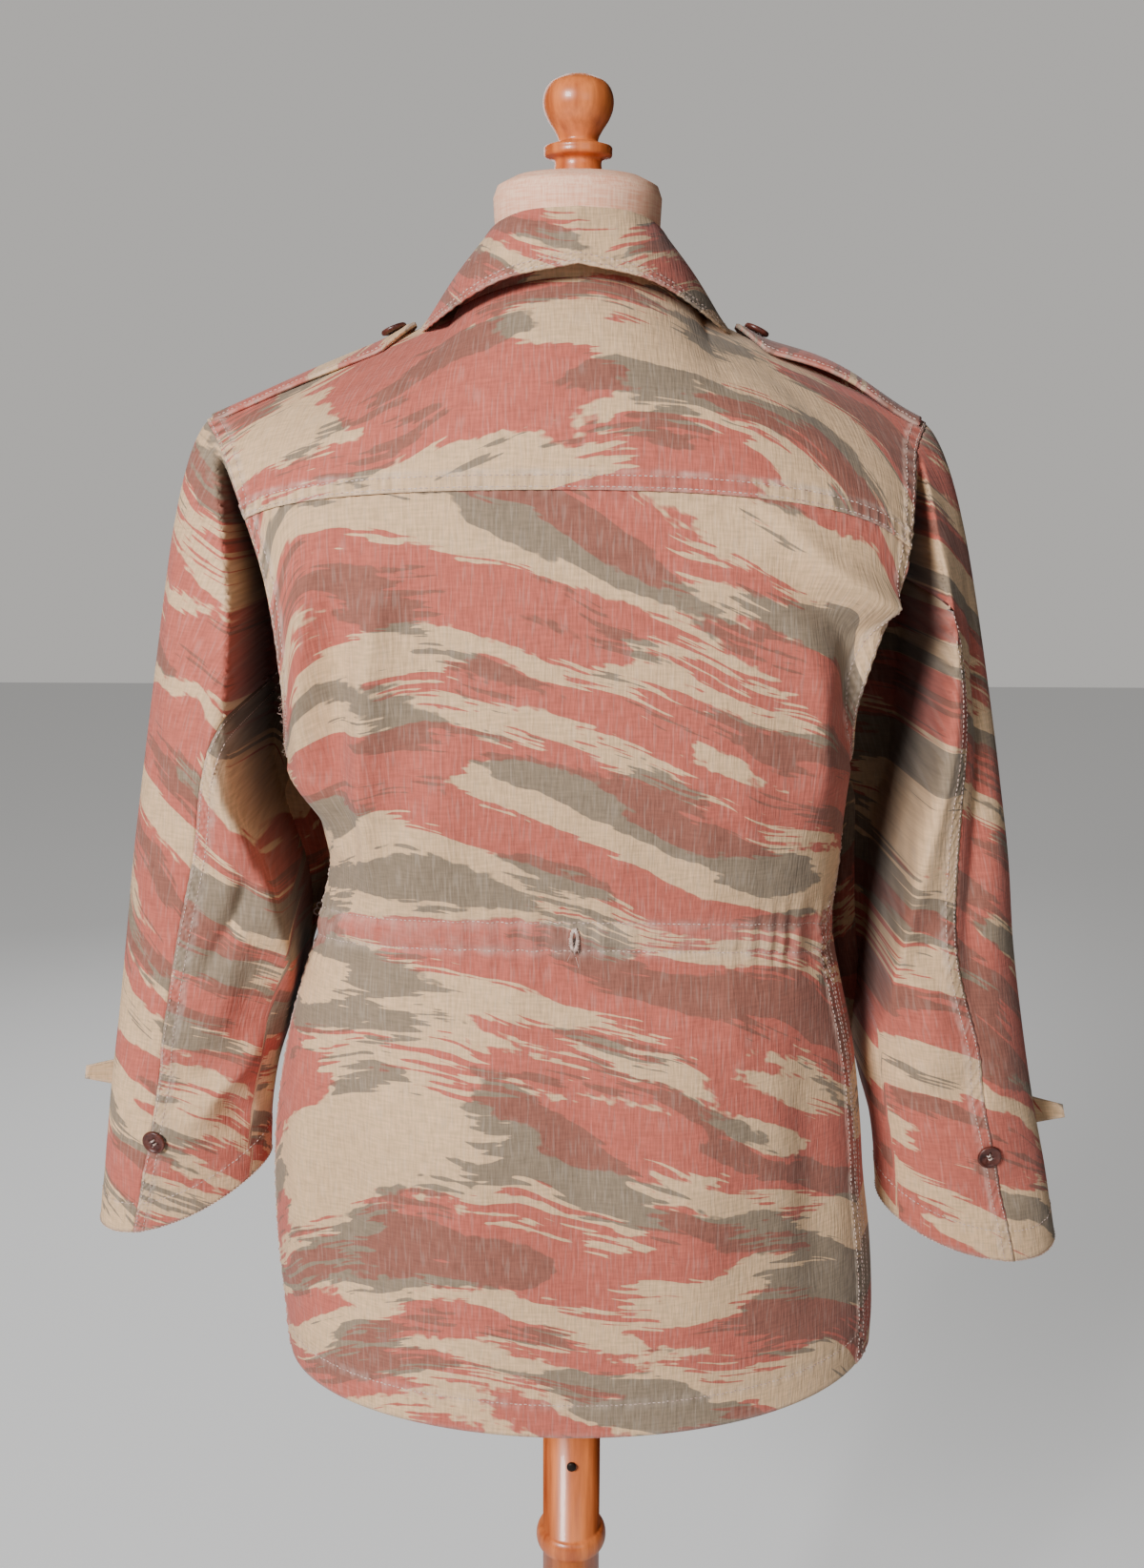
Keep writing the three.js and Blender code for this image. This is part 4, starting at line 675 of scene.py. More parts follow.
back_lines = [back.lifted(STITCH_LIFT)[nearest(back_levels, level), 3:-3] for level in CHANNEL]
back_lines.append(back.at_level(back.bottom, HEM_TURN, STITCH_LIFT, slice(3, -3)))
for distance in (back.start, back.end):
    back_lines += [back.at_distance(distance, at, STITCH_LIFT) for at in FELL_ROWS]
stitch("back_stitching", back_lines)


# ---- Back yoke ----
# One piece across the shoulders. Its lower edge is turned under and stitched twice over the back
# panel; its upper edge meets the fronts along the shoulder seams and the collar round the neck.

NECK_Z, NECK_HALF, NECK_SIDE_Y, NECK_BACK, NECK_FRONT = 1483, 77, 2, 58, 90
NECK_BACK_RISE, NECK_FRONT_DROP, NECK_SHARE = 16, 75, 0.36
YOKE_ROWS = (2.0, 8.5)


def neck_point(side, degrees):
    turn = np.radians(np.asarray(degrees, float))
    c = np.cos(turn)
    rise = np.where(c > 0, NECK_BACK_RISE * c * c, -NECK_FRONT_DROP * np.abs(np.minimum(c, 0)) ** 1.5)
    y = NECK_SIDE_Y + np.where(c > 0, NECK_BACK, NECK_FRONT) * c
    return stack(side * NECK_HALF * np.sin(turn), y, NECK_Z + rise)


def top_edge(side, face, u):
    quarter = 90 * np.minimum(u / NECK_SHARE, 1)
    neck = neck_point(side, quarter if face > 0 else 180 - quarter)
    t = np.maximum((u - NECK_SHARE) / (1 - NECK_SHARE), 0)[..., None]
    seam = neck_point(side, 90) * (1 - t) + armhole(side, 0.0) * t
    return np.where((u < NECK_SHARE)[..., None], neck, seam)


def shoulder_curve(side, face, u, start, below, t):
    end = top_edge(side, face, u)
    length = np.linalg.norm(end - start, axis=-1, keepdims=True)
    rise = unit(start - below) * length
    steep = np.maximum(0, 1 - np.abs(u) / NECK_SHARE)
    lean = unit(stack(0, -face, 0.25 + 0.55 * steep)) * length
    return hermite(start, end, rise, lean, t[..., None])


def over_shoulder(side, face, u, level_at, level, t):
    def curve(at):
        return shoulder_curve(side, face, at, level_at(at, level), level_at(at, level - 4), t)
    edge_turn = armhole_turn(side, face, level_at(np.ones(1), np.full(1, float(level)))[0, 2])
    turn = edge_turn + ((0 if face > 0 else 1) - edge_turn) * t
    pull = armhole(side, turn) - curve(np.ones_like(u))
    return curve(u) + pull * smooth(u, 0.55, 1)[..., None]


def yoke_at(u, t):
    u, t = np.broadcast_arrays(np.asarray(u, float), np.asarray(t, float))

    def half(side):
        def level_at(at, z):
            return half_back(side, at, np.broadcast_to(z, at.shape))
        return over_shoulder(side, 1, np.abs(u), level_at, YOKE_SEAM, t)
    return np.where((u >= 0)[..., None], half(1), half(-1))


yoke_u = spaced(
    (-1, -0.93, 14), (-0.93, -NECK_SHARE, 46), (-NECK_SHARE, 0, 26),
    (0, NECK_SHARE, 26), (NECK_SHARE, 0.93, 46), (0.93, 1, 14))
yoke_t = spaced((-0.006, 0.12, 16), (0.12, 1, 44))
grid_u, grid_t = np.meshgrid(yoke_u, yoke_t)
yoke_points = yoke_at(grid_u, np.maximum(grid_t, 0))
yoke_points[0] = back_at(yoke_u, YOKE_SEAM - 1.0)
yoke = Cloth(yoke_points, (0, 1, 1))
yoke.band(yoke.bottom, 10.5, 0.7)
yoke.height += 0.6 * (1 - smooth(yoke.bottom, 10, 30))
for at in YOKE_ROWS:
    yoke.row_dimples(yoke.bottom, at, yoke.from_middle(), 8.0, 0.3)
fell(yoke)
# The cloth is a little loose between the shoulder blades, and pulls from the neck to the tips.
x, y = yoke.points[..., 0], yoke.points[..., 1]
yoke.crease((x, y), [
    (96, 40, 190, 70, 14, -1.6, 2), (60, 78, 150, 95, 16, 1.8, 2),
    (-90, 44, -190, 66, 14, -1.8, 2), (-50, 84, -140, 96, 16, 1.6, 2), (-118, 60, -185, 82, 9, -1.6, 2)])
sew("yoke", yoke, ["back_yoke"], (0.94, 0.71))
yoke_lines = [yoke.at_level(yoke.bottom, at, STITCH_LIFT, slice(3, -3)) for at in YOKE_ROWS]
for distance in (yoke.start, yoke.end):
    yoke_lines += [yoke.at_distance(distance, at, STITCH_LIFT, slice(2, -2)) for at in FELL_ROWS]
stitch("yoke_stitching", yoke_lines)


# ---- Fronts ----
# Two plain fronts that the picture hides, the left lapping over the right, with a stitched
# button edge, the drawcord channel and the hem running on from the back.

LAP, LAP_DEPTH, BUTTON_EDGE_ROWS = 0.09, 3.2, (2.0, 34.0)


def front_at(side, u, level):
    level = np.asarray(level, float)
    droop = read(DROOP, SIDES[side], np.minimum(level, UNDERARM_LEVEL))
    reach = np.maximum(u, 0)
    seam = seam_angle(side, level - droop)
    angle = -np.pi / 2 + u * (np.pi / 2 + seam) - armhole_pull(side, -1, level - droop, reach)
    z = level - droop * reach ** DROOP_POWER
    behind = body_point(side, 1, np.maximum(angle, 0), z)
    return np.where((angle > 0)[..., None], behind, body_point(side, -1, np.minimum(angle, 0), z))


def chest_at(side, u, t):
    def level_at(at, z):
        return front_at(side, at, np.broadcast_to(z, at.shape))
    return over_shoulder(side, -1, u, level_at, CHEST, t)


FRONT_CREASES = {
    1: [(120, 1300, 96, 1130, 16, 4, 2), (110, 1060, 128, 790, 26, 4, 2), (168, 1040, 178, 800, 16, -3.5, 2)],
    -1: [
        (-118, 1300, -100, 1130, 16, 4, 2), (-112, 1060, -126, 790, 26, 4, 2),
        (-168, 1040, -182, 800, 16, -3.5, 2),
    ],
}
front_u = spaced((-LAP, 0.93, 72), (0.93, 1, 12))
front_levels = panel_levels((12, 44, 28, 16, 22), CHEST)
chest_rows = np.linspace(0, 1, 50)[1:]
grid_u, grid_level = np.meshgrid(front_u, front_levels)
chest_u, chest_t = np.meshgrid(front_u, chest_rows)
rows = len(front_levels)
fronts = {}
for side in (1, -1):
    low = front_at(side, grid_u, grid_level)
    front = Cloth(np.concatenate([low, chest_at(side, chest_u, chest_t)]), (0, -1, 0))
    front.shove = fallen_in(front.points)
    front.crease((front.points[..., 0], front.points[..., 2]), FRONT_CREASES[side])
    front.height *= smooth(1 - np.concatenate([grid_u, chest_u]), 0, 0.16)
    across = front.start
    gathered = near(grid_level, CHANNEL_LEVEL, CHANNEL_SPREAD)
    gathered = gathered * smooth(1 - grid_u, 0, 0.16) * smooth(grid_u, 0.12, 0.25)
    front.height[:rows] += 1.1 * gathered * np.sin(across[:rows] / 2.1 + 2.2 * np.sin(across[:rows] / 17))
    for level in CHANNEL:
        front.height[:rows] -= 0.9 * near(grid_level, level, 2.2) * smooth(grid_u, 0.12, 0.2)
        front.wear[:rows] += 0.45 * near(grid_level, level, 3.2)
    front.row_dimples(front.bottom, HEM_TURN, across, 8.5, 0.45)
    front.wear += 0.8 * near(front.bottom, 0, 2.2)
    front.band(front.end, FELL_WIDTH, 0.5)
    for at in BUTTON_EDGE_ROWS:
        front.row_dimples(front.start, at, front.bottom, 9.0, 0.3)
    front.wear += 0.8 * near(front.start, 0, 2.0)
    if side < 0:
        under = 1 - smooth(front_u, 1.9 * LAP, 3.4 * LAP)
        front.points = front.points - front.normals * (LAP_DEPTH * under)[None, :, None]
    fronts[side] = front
    name = "front_" + SIDES[side]
    sew(name, front, [name], (2.0 + side, 0.21))
    lines = [front.at_distance(front.start, at, STITCH_LIFT, slice(0, -12)) for at in BUTTON_EDGE_ROWS]
    lines += [front.at_distance(front.end, at, STITCH_LIFT) for at in FELL_ROWS]
    lines.append(front.at_level(front.bottom, HEM_TURN, STITCH_LIFT, slice(2, -3)))
    lines += [front.lifted(STITCH_LIFT)[nearest(front_levels, level), 16:-3] for level in CHANNEL]
    stitch(name + "_stitching", lines)


# ---- Sleeves ----
# Each is cut in two, an upper piece and an under piece. The seam down its back is felled and
# stitched twice, and the cuff is turned in and whipped along its edge.

SLEEVE = {
    1: {
        "s": [0, 0.18, 0.36, 0.54, 0.7, 0.85, 1],
        "outer_z": [1190, 1130, 1072, 1013, 960, 905, 848], "inner_z": [1146, 1100, 1048, 1003, 966, 932, 897],
        "outer": [289, 300, 309, 319, 329, 338, 347], "inner": [193, 184, 189, 202, 212, 218, 221],
        "y": [2, 1, 0, -4, -8, -12, -16], "depth": [60, 56, 52, 48, 44, 40, 36], "dip": [0, 0, 0, 0, 0, 2, 4],
    },
    -1: {
        "s": [0, 0.18, 0.36, 0.54, 0.7, 0.85, 1],
        "outer_z": [1190, 1130, 1070, 1008, 950, 892, 838], "inner_z": [1146, 1098, 1045, 998, 955, 916, 870],
        "outer": [284, 295, 303, 315, 328, 343, 355], "inner": [184, 184, 188, 200, 209, 217, 223],
        "y": [2, 1, 0, -4, -8, -12, -16], "depth": [60, 56, 52, 48, 44, 40, 37], "dip": [0, 0, 0, 0, 2, 6, 12],
    },
}
CAP_SHARE, CAP_SPREAD, CAP_SPREAD_INNER, CAP_FULLNESS = 0.36, 0.85, 0.17, 0.45
CUFF_SLANT, SLEEVE_POWER = 1.7, 2.15
SLEEVE_SEAMS = {
    "along": [0, 0.18, 0.36, 0.54, 0.7, 0.85, 1], "left": [0.3, 0.275, 0.25, 0.212, 0.202, 0.2, 0.17],
    "right": [0.2, 0.17, 0.205, 0.225, 0.205, 0.2, 0.18], "front": [0.66, 0.66, 0.66, 0.66, 0.66, 0.67, 0.68],
}
# Broad folds: how far along and round each one starts and ends, and its height
SLEEVE_FOLDS = {
    1: [
        (0.3, 0.33, 0.62, 0.36, -6), (0.58, 0.22, 0.75, 0.29, -4),
        (0.66, 0.31, 0.86, 0.24, 4), (0.3, 0.8, 0.6, 0.72, -4),
    ],
    -1: [
        (0.2, 0.24, 0.66, 0.31, 6), (0.24, 0.33, 0.62, 0.38, -7),
        (0.58, 0.25, 0.74, 0.22, -4), (0.3, 0.8, 0.6, 0.73, -4),
    ],
}
SLEEVE_FOLD_HALF = 0.05


def sleeve_ring(side, s, turn):
    rows = SLEEVE[side]
    angle = 2 * np.pi * turn
    round_ = roundness(angle, SLEEVE_POWER)
    across = np.cos(angle) * round_
    outer, inner = read(rows, "outer", s), read(rows, "inner", s)
    fold = 0
    for s0, t0, s1, t1, height in SLEEVE_FOLDS[side]:
        along, away = on_line(s, turn, (s0, t0), (s1, t1))
        fold = fold + height * np.sin(np.pi * along) * near(away, 0, SLEEVE_FOLD_HALF)
    x = (outer + inner) / 2 + (outer - inner) / 2 * across + fold * np.cos(angle)
    y = read(rows, "y", s) + (read(rows, "depth", s) * round_ + fold) * np.sin(angle)
    slant = ((1 - across) / 2).clip(0, 1) ** CUFF_SLANT
    high, low = read(rows, "outer_z", s), read(rows, "inner_z", s)
    return stack(side * x, y, high + (low - high) * slant - read(rows, "dip", s) * np.sin(angle))


def sleeve_cap(side, turn, t):
    point = armhole(side, turn)
    tangent = unit(armhole(side, turn + 0.0005) - armhole(side, turn - 0.0005))
    facing = unit(stack(point[..., 0] - side * 150, point[..., 1], point[..., 2] - 1300))
    out = unit(np.cross(facing, tangent))
    out = out * np.where(out[..., :1] * side < 0, -1, 1)
    point = point + out * 0.3
    end = sleeve_ring(side, np.zeros_like(turn), turn)
    length = np.linalg.norm(end - point, axis=-1, keepdims=True)
    inner = ((1 - np.cos(2 * np.pi * turn)) / 2)[..., None]
    share = CAP_SPREAD * (1 - inner) + CAP_SPREAD_INNER * inner
    leave = out * share + np.concatenate([np.zeros_like(share), np.zeros_like(share), share - 1], -1)
    leave = unit(leave) * length * (CAP_FULLNESS * (1 - inner) + inner)
    arrive = unit(sleeve_ring(side, np.full_like(turn, 0.02), turn) - end) * length
    return hermite(point, end, leave, arrive, t[..., None])


def sleeve_at(side, turn, along):
    turn, along = np.broadcast_arrays(np.asarray(turn, float), np.asarray(along, float))
    whole = turn % 1
    cap = sleeve_cap(side, whole, np.minimum(along / CAP_SHARE, 1))
    ring = sleeve_ring(side, np.maximum((along - CAP_SHARE) / (1 - CAP_SHARE), 0), whole)
    return np.where((along < CAP_SHARE)[..., None], cap, ring)


def sleeve_middle(side, along):
    return (sleeve_at(side, 0, along) + sleeve_at(side, 0.5, along)) / 2


# The back of each sleeve is a long ridge. Between it and the body the cloth falls forward into a
# deep hollow. Places are millimetres down the sleeve and round it from its outer edge.
DOWN, ROUND = 500, 330
HOLLOWS = {
    "along": [0, 0.06, 0.12, 0.2, 0.36, 0.41, 0.5, 0.56, 0.64, 0.78, 1],
    "left": [0.03, 0.14, 0.22, 0.28, 0.345, 0.365, 0.385, 0.405, 0.44, 0.52, 0.6],
    "right": [0.06, 0.12, 0.165, 0.205, 0.275, 0.29, 0.305, 0.32, 0.37, 0.47, 0.6],
}
SLEEVE_CREASES = {
    1: [
        (9, 1.7, (60, 66, 0), (100, 82, 6), (150, 96, 10), (205, 108, 12),
         (250, 120, 10), (290, 136, 6), (330, 150, 0)),
        (10, 1.5, (20, 66, 0), (60, 84, 3), (140, 96, 5), (240, 98, 5), (320, 102, 3), (360, 100, 0)),
        (6, 1.5, (205, 112, 0), (235, 106, -8), (265, 98, -9), (290, 90, -6), (315, 86, 0)),
        (10, 1.6, (340, 134, 0), (375, 120, 6), (405, 104, 7), (425, 90, 0)),
        (9, 1.7, (370, 92, 0), (400, 104, -5), (430, 122, -4), (445, 132, 0)),
        (12, 1.8, (120, 30, 0), (170, 44, -3), (230, 60, 0)),
        (12, 1.8, (330, 30, 0), (370, 52, -3), (400, 74, 0)),
        (9, 1.6, (60, 12, 0), (90, 30, 3), (130, 44, 0)), (12, 1.8, (430, 20, 0), (455, 60, 3), (470, 100, 0)),
    ],
    -1: [
        (10, 1.5, (40, 44, 0), (75, 60, 6), (130, 72, 9), (200, 90, 11),
         (265, 104, 11), (320, 114, 7), (380, 130, 0)),
        (11, 1.6, (80, 24, 0), (120, 36, -6), (190, 50, -10), (260, 62, -9), (320, 66, -4), (360, 66, 0)),
        (8, 1.6, (240, 98, 0), (280, 92, -4), (320, 84, -4), (350, 76, 0)),
        (12, 1.8, (350, 40, 0), (390, 60, 3), (420, 90, 0)),
        (12, 1.8, (430, 30, 0), (455, 64, -3), (475, 110, 0)),
    ],
}
CUFF_TURN, SLEEVE_SEAM_ROWS = 26, (1.6, 7.8)
LEFT_INNER_SHOVE = 14
alongs = spaced((0, CAP_SHARE, 56), (CAP_SHARE, 1, 104))
sleeves = {}
for side in (1, -1):
    for name, count in (("upper", 84), ("under", 64)):
        under = name == "under"
        share = spaced((0, 0.1, 9), (0.1, 0.9, count - 16), (0.9, 1, 9))
        grid_share, along = np.meshgrid(share, alongs)
        back_seam, front_seam = (read(SLEEVE_SEAMS, line, along) for line in (SIDES[side], "front"))
        first, last = (back_seam, front_seam) if under else (front_seam - 1, back_seam)
        turn = first + (last - first) * grid_share
        points = sleeve_at(side, turn, along)
        sleeve = Cloth(points, points - sleeve_middle(side, along))
        near_hole = smooth(along, 0, 0.06)

        # The hollow beside the body, whose cloth falls forward and lies in the dark
        s_ring = np.maximum((along - CAP_SHARE) / (1 - CAP_SHARE), 0)
        ridge = read(HOLLOWS, SIDES[side], along)
        fallen = 0.95 * smooth(turn, ridge, ridge + 0.034) * (1 - smooth(turn, 0.5, 0.65)) * near_hole
        floor_y = read(SLEEVE[side], "y", s_ring) - 0.8 * read(SLEEVE[side], "depth", s_ring)
        sleeve.shove[..., 1] = -fallen * (points[..., 1] - floor_y)
        before_seam = 1 - smooth(turn, 0.55, 0.655)
        # Painted shade: from the ridge to the seam the cloth's colour is darkened, as the deep hollow lies in
        # shade.
        sleeve.painted_shade = smooth(turn, ridge - 0.008, ridge + 0.022) * before_seam * near_hole
        sleeve.painted_shade *= 1 - smooth(along, 0.6, 0.85)
        if side > 0:
            level = smooth(points[..., 2], 1050, 1110) * (1 - smooth(points[..., 2], 1150, 1190))
            sleeve.shove[..., 0] = -LEFT_INNER_SHOVE * (smooth(turn, 0.38, 0.47) * before_seam) * level

        sleeve.fold((along * DOWN, turn * ROUND), SLEEVE_CREASES[side])
        sleeve.height *= near_hole
        if under:
            sleeve.band(sleeve.start, FELL_WIDTH, 0.9)
            for at in SLEEVE_SEAM_ROWS:
                sleeve.row_dimples(sleeve.start, at, sleeve.bottom, 9.0, 0.3)
        sleeve.wear += 0.9 * near(sleeve.top, 0, 2.4)
        sleeve.wear += 0.5 * near(sleeve.bottom, 0, 3.0)
        sleeve.height += 0.4 * (1 - smooth(sleeve.top, CUFF_TURN, CUFF_TURN + 1.5))
        sleeve.row_dimples(sleeve.top, CUFF_TURN, sleeve.start, 8.5, 0.25)
        sleeves[side, name] = sleeve
        piece = f"sleeve_{SIDES[side]}_{name}"
        nodes = [piece] + ([f"sleeve_seam_{SIDES[side]}"] if under else [])
        print_shift = (4 + side * 0.24 + (2 if under else 0), 0.52 + 0.13 * side)
        across_uv = np.where(turn > 0.4, turn - 0.2, turn) if under else turn
        sew(piece, sleeve, nodes, print_shift, uv=np.stack([across_uv * ROUND - 60, points[..., 2]], -1))
        lines = [sleeve.at_level(sleeve.top, CUFF_TURN, STITCH_LIFT, slice(2, -2))]
        if under:
            lines += [
                sleeve.at_distance(sleeve.start, at, STITCH_LIFT, slice(4, -1)) for at in SLEEVE_SEAM_ROWS]
        stitch(piece + "_stitching", lines)
        whip = sleeve.at_level(sleeve.top, 0.6, 0.25, slice(1, -1))
        stitch(piece + "_whipping", [whip], 2.6, 2.0, 0.9)


# ---- Collar ----
# A one-piece collar that rises from the neck seam as its stand and rolls over as its fall, with
# two rows of stitching along its outer edge.

COLLAR = {
    "at": [0, 35, 75, 105, 140, 170],
    "fold_x": [0, 33, 55, 57, 42, 16], "fold_y": [60, 51, 20, -14, -58, -84],
    "fold_z": [1539, 1537, 1529, 1517, 1485, 1450],
    "edge_x": [0, 48, 93, 101, 88, 60], "edge_y": [80, 72, 30, -22, -90, -126],
    "edge_z": [1505, 1495, 1472, 1468, 1440, 1396],
}
COLLAR_END, COLLAR_RIGHT, FOLD_HALF, COLLAR_ROWS = 150, 0.97, 1.8, (2.0, 6.5)


def collar_at(degrees, share):
    degrees, share = np.broadcast_arrays(np.asarray(degrees, float), np.asarray(share, float))
    side, at = np.where(degrees >= 0, 1, -1), np.abs(degrees)
    turn = np.radians(at)
    out = stack(side * np.sin(turn), np.cos(turn), 0)
    wide = side * np.where(side > 0, 1, COLLAR_RIGHT)
    fold, edge = (
        stack(*(read(COLLAR, line + axis, at) * size for axis, size in (("_x", wide), ("_y", 1), ("_z", 1))))
        for line in ("fold", "edge"))
    facing = unit(stack(side * np.sin(turn), np.cos(turn), 1))
    seat = neck_point(side, at) - facing * 1.5 + unit(stack(-out[..., 0], -out[..., 1], 1)) * 0.3

    def off(point, outwards, down):
        moved = point + out * outwards
        return stack(moved[..., 0], moved[..., 1], point[..., 2] - down)
    profile = [
        seat, off((seat + fold) / 2, -0.8, 0), off(fold, -FOLD_HALF, 4.5), fold,
        off(fold, FOLD_HALF + 0.8, 3.2), off(fold + (edge - fold) * 0.45, 1.8, -1.2), edge]
    profile = np.stack([2 * profile[0] - profile[1], *profile, 2 * profile[-1] - profile[-2]])
    spans = len(profile) - 3
    place = np.clip(share * spans, 0, spans - 1e-9)
    i = np.floor(place).astype(int)
    pick = np.indices(i.shape)
    return slopes([profile[(i + k, *pick)] for k in range(4)], place - i)


collar_turns = np.linspace(-COLLAR_END, COLLAR_END, 181)
collar_shares = spaced((0, 0.3, 9), (0.3, 0.72, 24), (0.72, 1, 26))
grid_turn, grid_share = np.meshgrid(collar_turns, collar_shares)
collar_points = collar_at(grid_turn, grid_share)
collar = Cloth(collar_points, 0)
collar.normals = unit(np.cross(np.gradient(collar_points, axis=1), np.gradient(collar_points, axis=0)))
collar.height += 0.5 * (1 - smooth(collar.top, 7.0, 8.5))
for at in COLLAR_ROWS:
    collar.row_dimples(collar.top, at, collar.start, 8.0, 0.3)
collar.wear += 0.9 * near(collar.top, 0, 1.8)
collar.wear += 0.4 * near(grid_share, 0.5, 0.04)
for distance in (collar.start, collar.end):
    collar.wear += 0.8 * near(distance, 0, 2.0)
sew("collar_roll", collar, ["collar"], (6.05, 0.35), 1.4)
stitch("collar_stitching", [collar.at_level(collar.top, at, STITCH_LIFT, slice(2, -2)) for at in COLLAR_ROWS])


# ---- Drawcord eyelet and loose threads ----
# A hand-worked slit in the middle of the channel lets the drawcord out. It is worn and frayed.
# A dark thread loop hangs at the left side seam, and the left armhole has gone fuzzy.

def ring_faces(rings, sides):
    """The side faces between rings of points that all go round the same way."""
    return [
        (j * sides + i, j * sides + (i + 1) % sides, (j + 1) * sides + (i + 1) % sides, (j + 1) * sides + i)
        for j in range(rings - 1) for i in range(sides)]


def closed_faces(rings, sides):
    """The faces between rings, and one that closes each end."""
    last = tuple((rings - 1) * sides + i for i in range(sides))
    return [*ring_faces(rings, sides), tuple(range(sides))[::-1], last]


def tube(line, radius, sides=6):
    """Points and faces of a closed round cord along a line."""
    line = np.asarray(line, float)
    heading = unit(np.gradient(line, axis=0))
    aside = unit(np.cross(heading, (0.31, 0.52, 0.79)))[:, None]
    above = np.cross(heading, aside[:, 0])[:, None]
    angles = (2 * np.pi * np.arange(sides) / sides)[:, None]
    rings = line[:, None] + radius * (np.cos(angles) * aside + np.sin(angles) * above)
    return rings.reshape(-1, 3), closed_faces(len(line), sides)


def joined(bodies):
    """Several bodies' points and faces as one list of each."""
    points, faces = [], []
    for body_points, body_faces in bodies:
        faces += [tuple(i + len(points) for i in face) for face in body_faces]
        points += list(body_points)
    return np.array(points), faces


def solid(name, points, faces, material, slot, nodes=()):
    """Makes one closed body, or several, from points in millimetres."""
    mesh = bpy.data.meshes.new(name)
    mesh.from_pydata((np.asarray(points) * 0.001).tolist(), [], faces)
    mesh.polygons.foreach_set("use_smooth", np.ones(len(mesh.polygons), bool))
    mesh.materials.append(material)
    return add_piece(name, mesh, nodes)


# Dark brown-black: the real colour of the thread loop, and painted shade for the inside of the eyelet slit.
dark_thread_and_slit_shade = mottled("dark waxed thread and eyelet slit shade", 0.85, 300.0, 2.0, "#1E1512", "#4A352C")

# The slit is 2.2 mm by 10.4 mm. Radial stitches cover its edge, and some have come loose.
SLIT_HALF, SLIT_SIDES = (1.1, 5.2), 44
eyelet_at = back.lifted(0.25)[nearest(back_levels, CHANNEL_LEVEL), len(back_u) // 2]
turns = np.linspace(0, 2 * np.pi, SLIT_SIDES + 1)[:-1]
slit = np.array([eyelet_at + (SLIT_HALF[0] * math.cos(a), 0, SLIT_HALF[1] * math.sin(a)) for a in turns])
slit_faces = [
    tuple(range(SLIT_SIDES)), tuple(range(2 * SLIT_SIDES - 1, SLIT_SIDES - 1, -1)),
    *((i, i + SLIT_SIDES, (i + 1) % SLIT_SIDES + SLIT_SIDES, (i + 1) % SLIT_SIDES) for i in range(SLIT_SIDES))]
# The slit is a dark closed lens on the cloth: painted shade standing for the dark inside the hole.
solid("eyelet_slit", np.concatenate([slit, slit - (0, 0.5, 0)]), slit_faces, dark_thread_and_slit_shade, "cloth")
rng = np.random.default_rng(4)
worked = []
for a in np.linspace(0, 2 * np.pi, 54)[:-1]:
    inner = eyelet_at + (1.0 * math.cos(a), 0.1, 5.0 * math.sin(a))
    outer = eyelet_at + (3.3 * math.cos(a) + rng.normal(0, 0.15), 0.2, 8.4 * math.sin(a) + rng.normal(0, 0.3))
    bow = (inner + outer) / 2 + (0, 0.6, 0)
    rising, falling = (inner + bow) / 2 + (0, 0.15, 0), (outer + bow) / 2 + (0, 0.1, 0)
    worked.append(tube([inner, rising, bow, falling, outer], 0.36, 5))
for _ in range(10):
    start = eyelet_at + (rng.normal(0, 1.0), 0.5, rng.normal(-3, 3))
    way = np.array((rng.normal(0, 2.0), 0.5, -abs(rng.normal(4, 3))))
    bend = np.array((rng.normal(0, 1.2), 0.5, 0))
    line = [start, start + way * 0.35 + bend * 0.5, start + way * 0.7 + bend, start + way + bend * 0.4]
    worked.append(tube(line, 0.16, 4))
solid("eyelet_working", *joined(worked), thread, "cloth")

LOOP_LEVEL = 1112
loop = []
hang = back.lifted(0)[nearest(back_levels, LOOP_LEVEL), -1] + (-1.5, 2, 2)
for a in np.linspace(-0.3, 1.25, 26):
    swing = 2 * np.pi * a
    loop.append(hang + (2.5 + 3.2 * math.cos(swing) + 2 * a, 1.5 + a, -4 * a + 3.4 * math.sin(swing) - 3))
solid("thread_loop", *tube(loop, 0.6), dark_thread_and_slit_shade, "cloth")

fray = []
back_outer = back.lifted(0)
for _ in range(42):
    row = nearest(back_levels, rng.uniform(UNDERARM_LEVEL + 8, UNDERARM_LEVEL + 52))
    root = back_outer[row, -1 - int(rng.integers(0, 3))]
    way = np.array((abs(rng.normal(1.2, 0.8)), rng.normal(1.6, 0.9), rng.normal(0, 1.4)))
    curl = rng.normal(0, 1.1, 3)
    line = [root, root + way * 0.4 + curl * 0.4, root + way * 0.8 + curl, root + way * 1.1 + curl * 0.3]
    fray.append(tube(line, 0.1, 3))
solid("armhole_fray", *joined(fray), thread, "cloth")


# ---- Shoulder straps ----
# A doubled strap of the same cloth over each shoulder seam, caught in the armhole seam, with a
# pointed inner end that is buttoned down. The right one bows up a little.

STRAP_END_X, STRAP_SHARE, STRAP_BOW = {1: 101, -1: 99}, 0.17, {1: 1, -1: 7}
STRAP_POINT, STRAP_THICKNESS, STRAP_ROW = 0.86, 1.9, 3.0
DOUBLED_STITCHES = {"pitch": 3.0, "length": 2.3, "thick": 0.6}


def shoulder_at(side, u, share):
    t = 1 - np.abs(share) * STRAP_SHARE
    return np.where((share >= 0)[..., None], yoke_at(side * u, t), chest_at(side, u, t))


def strap_lift(side, share):
    return STRAP_BOW[side] * np.sin(np.pi * share) ** 2 + 3 * smooth(share, 0.8, 1)


